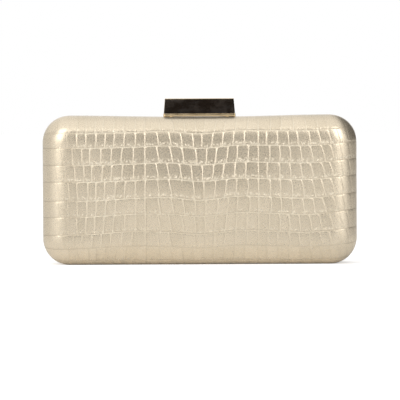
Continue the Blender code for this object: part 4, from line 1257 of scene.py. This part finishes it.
def pin_profile(radius, half_length, head_radius=0.0, head_length=0.0):
    """A lengthwise cut through a pin, from its axis at one end to its axis at the other."""
    wide = max(radius, head_radius)
    end, bend = half_length + head_length, ROUNDED_SHARE * PIN_ROUNDING
    upper = [(0.0, end), (wide - PIN_ROUNDING, end), (wide - bend, end - bend), (wide, end - PIN_ROUNDING)]
    if head_length:
        upper += [(wide, half_length), (radius, half_length)]
    return upper + [(r, -h) for r, h in reversed(upper)]


def turned_pin(name, profile, place, node):
    """A pin turned from its profile, with its axis along the bag's width."""
    pin = mesh_object(name, (), material=gold)
    with edited(pin.data) as bm:
        verts = [bm.verts.new((radius, 0.0, height)) for radius, height in profile]
        edges = [bm.edges.new(pair) for pair in zip(verts, verts[1:])]
        bmesh.ops.spin(bm, geom=verts + edges, cent=(0, 0, 0), axis=(0, 0, 1), angle=2 * math.pi,
                       steps=PIN_SIDES, use_merge=True)
    pin.data.transform(Matrix.Translation(place) @ Matrix.Rotation(math.pi / 2, 4, "Y"))
    tidy_mesh(pin, sharp_degrees=40)
    return settle(pin, "rear_half", "gold_metal", node)


pins = [turned_pin(f"turned_hinge_pin_{hand}", pin_profile(*HINGE_PIN, *PIN_HEAD),
                   (sign * HINGE_OFFSET, 0.0, HINGE_HEIGHT), f"hinge_pin_{hand}") for hand, sign in SIGNS]
pins.append(turned_pin("turned_clasp_pin", pin_profile(*CLASP_PIN),
                       (0.0, CLASP_PIN_PLACE, CLASP_PIN_HEIGHT), "clasp_pin"))
print("pins:", [(pin.name, triangles(pin)) for pin in pins])

# %% Rivets
SHANK_SHORTER = 0.6  # at each end, as a share of a head's height, so that the shank ends inside the head
# Radius of the shank, radius and height of the head, and the head's end
LEAF_RIVET = (0.7 * MM, 1.3 * MM, 0.4 * MM, -1)
PLATE_RIVET = (1.0 * MM, 1.0 * MM, 0.25 * MM, 1)
HOOK_SCREW = (0.45 * MM, 0.9 * MM, 0.3 * MM, -1)


def rivets(name, nodes, size, body, slot="gold_metal", material=gold):
    """All the rivets of one kind on one body, with their heads at the foot (-1) or at the top (1)."""
    radius, head_radius, head_height, head_end = size
    boxes = [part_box(node) for node in nodes]
    length = boxes[0][1].z - boxes[0][0].z
    made = grow(name, rivet_set, [(low + high) / 2 for low, high in boxes],
                Shank_Radius=radius, Shank_Length=length - 2 * SHANK_SHORTER * head_height,
                Head_Radius=head_radius, Head_Height=head_height,
                Head_Place=head_end * (length / 2 - head_height), Material=material)
    tidy_mesh(made, sharp_degrees=50)
    return settle(made, body, slot, *nodes)


for half in ("front", "rear"):
    nodes = [f"hinge_rivet_{half}_{hand}_{rank}" for hand, _ in SIGNS for rank in (1, 2)]
    rivets(f"hinge_rivets_{half}", nodes, LEAF_RIVET, f"{half}_half")
for kind, body in (("strike_rivet", "front_half"), ("clasp_base_rivet", "rear_half")):
    rivets(f"{kind}s_set", [f"{kind}_{hand}" for hand, _ in SIGNS], PLATE_RIVET, body)
hook_screw = rivets("hook_screw_set", ["clasp_hook_screw"], HOOK_SCREW, "clasp_lever",
                    "spring_steel", steel)
print("rivets set, and", hook_screw.name)

# %% Spring
SPRING_WIRE = 0.2 * MM
WIRE_SIDES = 8
SPRING_RADIUS = 1.15 * MM
SPRING_PITCH = 0.9 * MM
SPRING_TURNS = 6
SPRING_START = 6.2 * MM
SPRING_LEG = 1.5 * MM
SPRING_FOOT = 96.478 * MM  # where the lower leg ends, just above the clasp base
STEPS_IN_TURN = 28


def spring_path():
    """From the foot of the lower leg, round the pin, to the end of the upper leg."""
    leg_place = CLASP_PIN_PLACE - SPRING_RADIUS
    points = [(SPRING_START, leg_place, SPRING_FOOT)]
    for rank in range(SPRING_TURNS * STEPS_IN_TURN + 1):
        turn = rank / STEPS_IN_TURN
        angle = math.pi - 2 * math.pi * turn
        points.append((SPRING_START + SPRING_PITCH * turn,
                       CLASP_PIN_PLACE + SPRING_RADIUS * math.cos(angle),
                       CLASP_PIN_HEIGHT + SPRING_RADIUS * math.sin(angle)))
    points.append((SPRING_START + SPRING_PITCH * SPRING_TURNS, leg_place, CLASP_PIN_HEIGHT + SPRING_LEG))
    return points


coil = spring_path()
spring = grow("wound_clasp_spring", round_wire, coil, loop_edges(len(coil), closed=False),
              Radius=SPRING_WIRE, Sides=WIRE_SIDES, Material=steel)
tidy_mesh(spring, merge=FINE_MERGE, sharp_degrees=60)
settle(spring, "rear_half", "spring_steel", "clasp_spring")
print("spring wire points:", len(coil))

# %% [markdown]
# ## Moulded shells
# The two moulded shells lie between the covers and the linings, so only their edges could ever be
# seen. Their solids are right as they are and only get their finish.

# %% Shells
for node in ("front_shell", "rear_shell"):
    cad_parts[node].data.materials.clear()
    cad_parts[node].data.materials.append(moulded)
print("shells finished")

# %% [markdown]
# ## Linings
# The satin is cut flat, glued into the shell and tucked under a rolled binding at the rim. In the
# four corners the cloth is gathered, so small folds run down from the rim. The lining is the same
# wrapped sheet as the cover, only deeper, with the gathers and a slight unevenness added.

# %% Linings
LINING_INSET = 4.4 * MM
LINING_RIM = 1.0 * MM
LINING_THICKNESS = 0.8 * MM
LINING_GRID = (161, 89)
LINING_SEEDS = (("front", 5), ("rear", 6))
WAVES = 5
WAVE_HEIGHT = 0.05 * MM
WAVE_RATES = (60, 170)  # radians in a metre
GATHERS = 26
GATHER_DEPTH = 0.22 * MM
GATHER_REACH = 12 * MM
BINDING_RADIUS = 0.42 * MM
BINDING_STEP = 0.35 * MM
BINDING_SIDES = 10


def cloth_relief(across, upward, seed):
    """How the glued cloth lies: shallow waves everywhere, and gathers round the corners."""
    rng = np.random.default_rng(seed)
    relief = np.zeros_like(across)
    for _ in range(WAVES):
        wave = rng.uniform(*WAVE_RATES, 2) * rng.choice((-1, 1), 2)
        relief += WAVE_HEIGHT * np.sin(across * wave[0] + upward * wave[1] + rng.uniform(0, 6.28))
    _, _, out_x, out_z, distance = edge_distance(across, upward)
    corner = np.clip(2 * np.abs(out_x * out_z), 0, 1)
    depth = smooth(distance / GATHER_REACH)
    relief += GATHER_DEPTH * corner * depth * np.sin(GATHERS * np.arctan2(out_z, out_x))
    return relief


def make_lining(half, seed):
    across, upward = flat_grid(LINING_INSET, LINING_RIM, *LINING_GRID)
    lift = -LINING_THICKNESS + cloth_relief(across, upward, seed)
    seen = skin(across, upward, LINING_INSET, LINING_RIM, lift)
    behind = skin(*flat_grid(LINING_INSET, LINING_RIM, *BACK_GRID), LINING_INSET, LINING_RIM)
    lining = two_sided(f"{half}_satin_lining", half, seen, behind, satin)
    tidy_mesh(lining, sharp_degrees=50)
    return lay_on_shell(lining, half, "lining_satin", f"{half}_lining")


def make_binding(half):
    """The rolled edge that hides the lining's raw rim."""
    path = outline(LINING_INSET + BINDING_STEP)
    roll = grow(f"{half}_lining_binding", round_wire, path, loop_edges(len(path)),
                Radius=BINDING_RADIUS, Sides=BINDING_SIDES, Material=binding)
    roll.data.transform(Matrix.Translation((0.0, 0.0, LINING_RIM)))
    upright(roll, half)
    tidy_mesh(roll)
    return settle(roll, f"{half}_half", "lining_satin")


linings = [make_lining(half, seed) for half, seed in LINING_SEEDS]
bindings = [make_binding(half) for half in ("front", "rear")]
print("triangles of linings and bindings:", [triangles(piece) for piece in linings + bindings])

# %% [markdown]
# ## Slip pocket
# A patch of the same satin is sewn to the rear lining along three sides. Its upper edge is folded
# over into a hem and stands a little open. Rows of stitches run along the seam and the hem.

# %% Pocket
POCKET_WIDTH = 90 * MM
POCKET_HEIGHT = 50 * MM
POCKET_FOOT = 12 * MM
POCKET_ROUNDING = 6 * MM
POCKET_FACE = 16.45 * MM
POCKET_MOUTH = 1.3 * MM
POCKET_SAG = 0.5 * MM
POCKET_EASE = 14 * MM
POCKET_RIPPLE = (0.12 * MM, 260.0)  # height, and radians in a metre
POCKET_CLOTH = 0.45 * MM
POCKET_COLUMNS = 73
CORNER_LINES, PLAIN_LINES = 8, 22
HEM_HEIGHT = 6 * MM
HEM_FOLD = 0.35 * MM
HEM_LINES = (0.25, 0.6, 1.5, 3.0, 4.5, 5.4, 5.8, 6.0)  # mm above the hem's lower edge
HEM_STEP = 0.5 * MM
HEM_ROLL = 0.7 * MM
HEM_ROLL_BACK = 0.8
SEAM_INSET = 2.2 * MM
POCKET_TOP = POCKET_FOOT + POCKET_HEIGHT
HEM_FOOT = POCKET_TOP - HEM_HEIGHT


def cloth_piece(name, x, y, z, thickness, offset):
    """A thin piece of satin from a grid of places, with its edges closed."""
    points = np.stack([x, y, z], axis=-1).reshape(-1, 3)
    lines, columns = x.shape
    piece = mesh_object(name, points, grid_faces(np.ones((lines - 1, columns - 1), bool)), satin)
    wall = piece.modifiers.new("cloth", "SOLIDIFY")
    wall.thickness, wall.offset = thickness, offset
    applied(piece)
    return tidy_mesh(piece, sharp_degrees=60)


def pocket_depth(x, z):
    """How far the pocket stands off its seam towards the middle of the bag, at a place on it."""
    side = smooth((POCKET_WIDTH / 2 - SEAM_INSET - np.abs(x)) / POCKET_EASE)
    up = np.clip((z - POCKET_FOOT - SEAM_INSET) / POCKET_HEIGHT, 0, 1)
    height, rate = POCKET_RIPPLE
    return side * (POCKET_MOUTH * up**2 + POCKET_SAG * np.sin(np.pi * up) + height * np.sin(x * rate) * up)


def pocket_half_width(z):
    """Half the pocket's width at a height, because its lower corners are round."""
    low = np.maximum(POCKET_FOOT + POCKET_ROUNDING - z, 0.0)
    return POCKET_WIDTH / 2 - POCKET_ROUNDING + np.sqrt(np.maximum(POCKET_ROUNDING**2 - low**2, 0.0))


def make_pocket():
    heights = np.concatenate([
        POCKET_FOOT + POCKET_ROUNDING * (1 - np.cos(np.linspace(0, math.pi / 2, CORNER_LINES))),
        np.linspace(POCKET_FOOT + POCKET_ROUNDING, HEM_FOOT, PLAIN_LINES)[1:],
        HEM_FOOT + np.array(HEM_LINES) * MM])
    z = np.repeat(heights[:, None], POCKET_COLUMNS, axis=1)
    x = np.linspace(-1, 1, POCKET_COLUMNS)[None, :] * pocket_half_width(heights)[:, None]
    hem = smooth((z - HEM_FOOT) / HEM_STEP)
    rolled = smooth((z - (POCKET_TOP - HEM_ROLL)) / HEM_ROLL)
    y = POCKET_FACE - pocket_depth(x, z) - HEM_FOLD * hem * (1 - HEM_ROLL_BACK * rolled)
    pocket = cloth_piece("sewn_slip_pocket", x, y, z, POCKET_CLOTH, -1.0)
    settle(pocket, "rear_half", "lining_satin", "slip_pocket")
    return pocket


pocket = make_pocket()
print("pocket triangles:", triangles(pocket))

# %% Stitches
STITCH_PITCH = 2.6 * MM
STITCH_LENGTH = 1.9 * MM
STITCH_THICKNESS = 0.32 * MM
STITCH_LIFT = 0.05 * MM
SEAM_TOP = POCKET_TOP - 0.8 * MM
SEAM_TURN = POCKET_ROUNDING - SEAM_INSET / 2
SIDE_POINTS, FOOT_POINTS, TURN_POINTS = 12, 24, 7
HEM_SEAM_HEIGHT = HEM_FOOT + 1.0 * MM
HEM_SEAM_INSET = 4 * MM
HEM_SEAM_POINTS = 40


def seam_points():
    """The pocket's seam: down one side, round the lower corners, and up the other."""
    half, low = POCKET_WIDTH / 2 - SEAM_INSET, POCKET_FOOT + SEAM_INSET
    tall, wide = SEAM_TOP - low - SEAM_TURN, 2 * (half - SEAM_TURN)
    side = [(half, low + SEAM_TURN + tall * k / SIDE_POINTS) for k in range(1, SIDE_POINTS + 1)]
    turn = [(half - SEAM_TURN * (1 - math.sin(a)), low + SEAM_TURN * (1 - math.cos(a)))
            for a in np.linspace(0, math.pi / 2, TURN_POINTS)]
    foot = [(wide * (k / FOOT_POINTS - 0.5), low) for k in range(1, FOOT_POINTS)]
    right = turn + side
    return [(-x, z) for x, z in reversed(right)] + foot + right


def stitches(name, flat_points, lift):
    """A row of stitches on the pocket, this far off its face."""
    path = [(x, POCKET_FACE - pocket_depth(x, z) - lift, z) for x, z in flat_points]
    row = grow(name, stitch_row, path, loop_edges(len(path), closed=False), Pitch=STITCH_PITCH,
               Length=STITCH_LENGTH, Thickness=STITCH_THICKNESS, Material=thread)
    tidy_mesh(row, merge=FINE_MERGE)
    return settle(row, "rear_half", "lining_satin")


hem_end = POCKET_WIDTH / 2 - HEM_SEAM_INSET
hem_line = [(x, HEM_SEAM_HEIGHT) for x in np.linspace(-hem_end, hem_end, HEM_SEAM_POINTS)]
rows = [stitches("pocket_seam_stitches", seam_points(), STITCH_LIFT),
        stitches("pocket_hem_stitches", hem_line, STITCH_LIFT + HEM_FOLD)]
print("triangles of the stitches:", [triangles(row) for row in rows])

# %% [markdown]
# ## Gussets
# A pleated strip of satin joins the two linings at each end of the bag. It is made shut, with its
# pleats folded between the halves; on the real bag, opened, they fan out and stop the front half from
# falling further. The pleats are shallow at the foot and deep at the top, because the opening widens
# upwards.

# %% Gussets
GUSSET_REACH = 7.5 * MM
GUSSET_WALL = 94.45 * MM
GUSSET_FOOT = 18.0 * MM
GUSSET_TOP = 68.0 * MM
GUSSET_LEGS = 10
LEG_COLUMNS = 6
GUSSET_LINES = 31
GUSSET_SAG = 1.2 * MM
GUSSET_CLOTH = 0.35 * MM
PLEAT_FOOT_DEPTH = 1.2 * MM
PLEAT_TOP_DEPTH = 7.0 * MM
PLEAT_GROWTH = 0.9
PLEAT_SOFTNESS = 0.45


def pleat_line(share, depth):
    """How deep a fold is, at a share of the way from front to rear."""
    folded = np.abs(((share * GUSSET_LEGS + 1) % 2) - 1)
    soft = 0.5 - 0.5 * np.cos(np.pi * folded)
    return depth * ((1 - PLEAT_SOFTNESS) * folded + PLEAT_SOFTNESS * soft)


def make_gusset(hand, sign):
    columns = GUSSET_LEGS * LEG_COLUMNS + 1
    share, up = np.meshgrid(np.linspace(0, 1, columns), np.linspace(0, 1, GUSSET_LINES))
    depth = PLEAT_FOOT_DEPTH + (PLEAT_TOP_DEPTH - PLEAT_FOOT_DEPTH) * up**PLEAT_GROWTH
    x = GUSSET_WALL - GUSSET_CLOTH - pleat_line(share, depth)
    y = -GUSSET_REACH + 2 * GUSSET_REACH * share
    z = GUSSET_FOOT + (GUSSET_TOP - GUSSET_FOOT) * up - GUSSET_SAG * np.sin(np.pi * share) * up
    gusset = cloth_piece(f"pleated_gusset_{hand}", sign * x, y, z, GUSSET_CLOTH, 0.0)
    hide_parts(f"gusset_{hand}")
    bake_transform(gusset)


for hand, sign in SIGNS:
    make_gusset(hand, sign)

# %% [markdown]
# The visual model must stay inside the box of the solids.
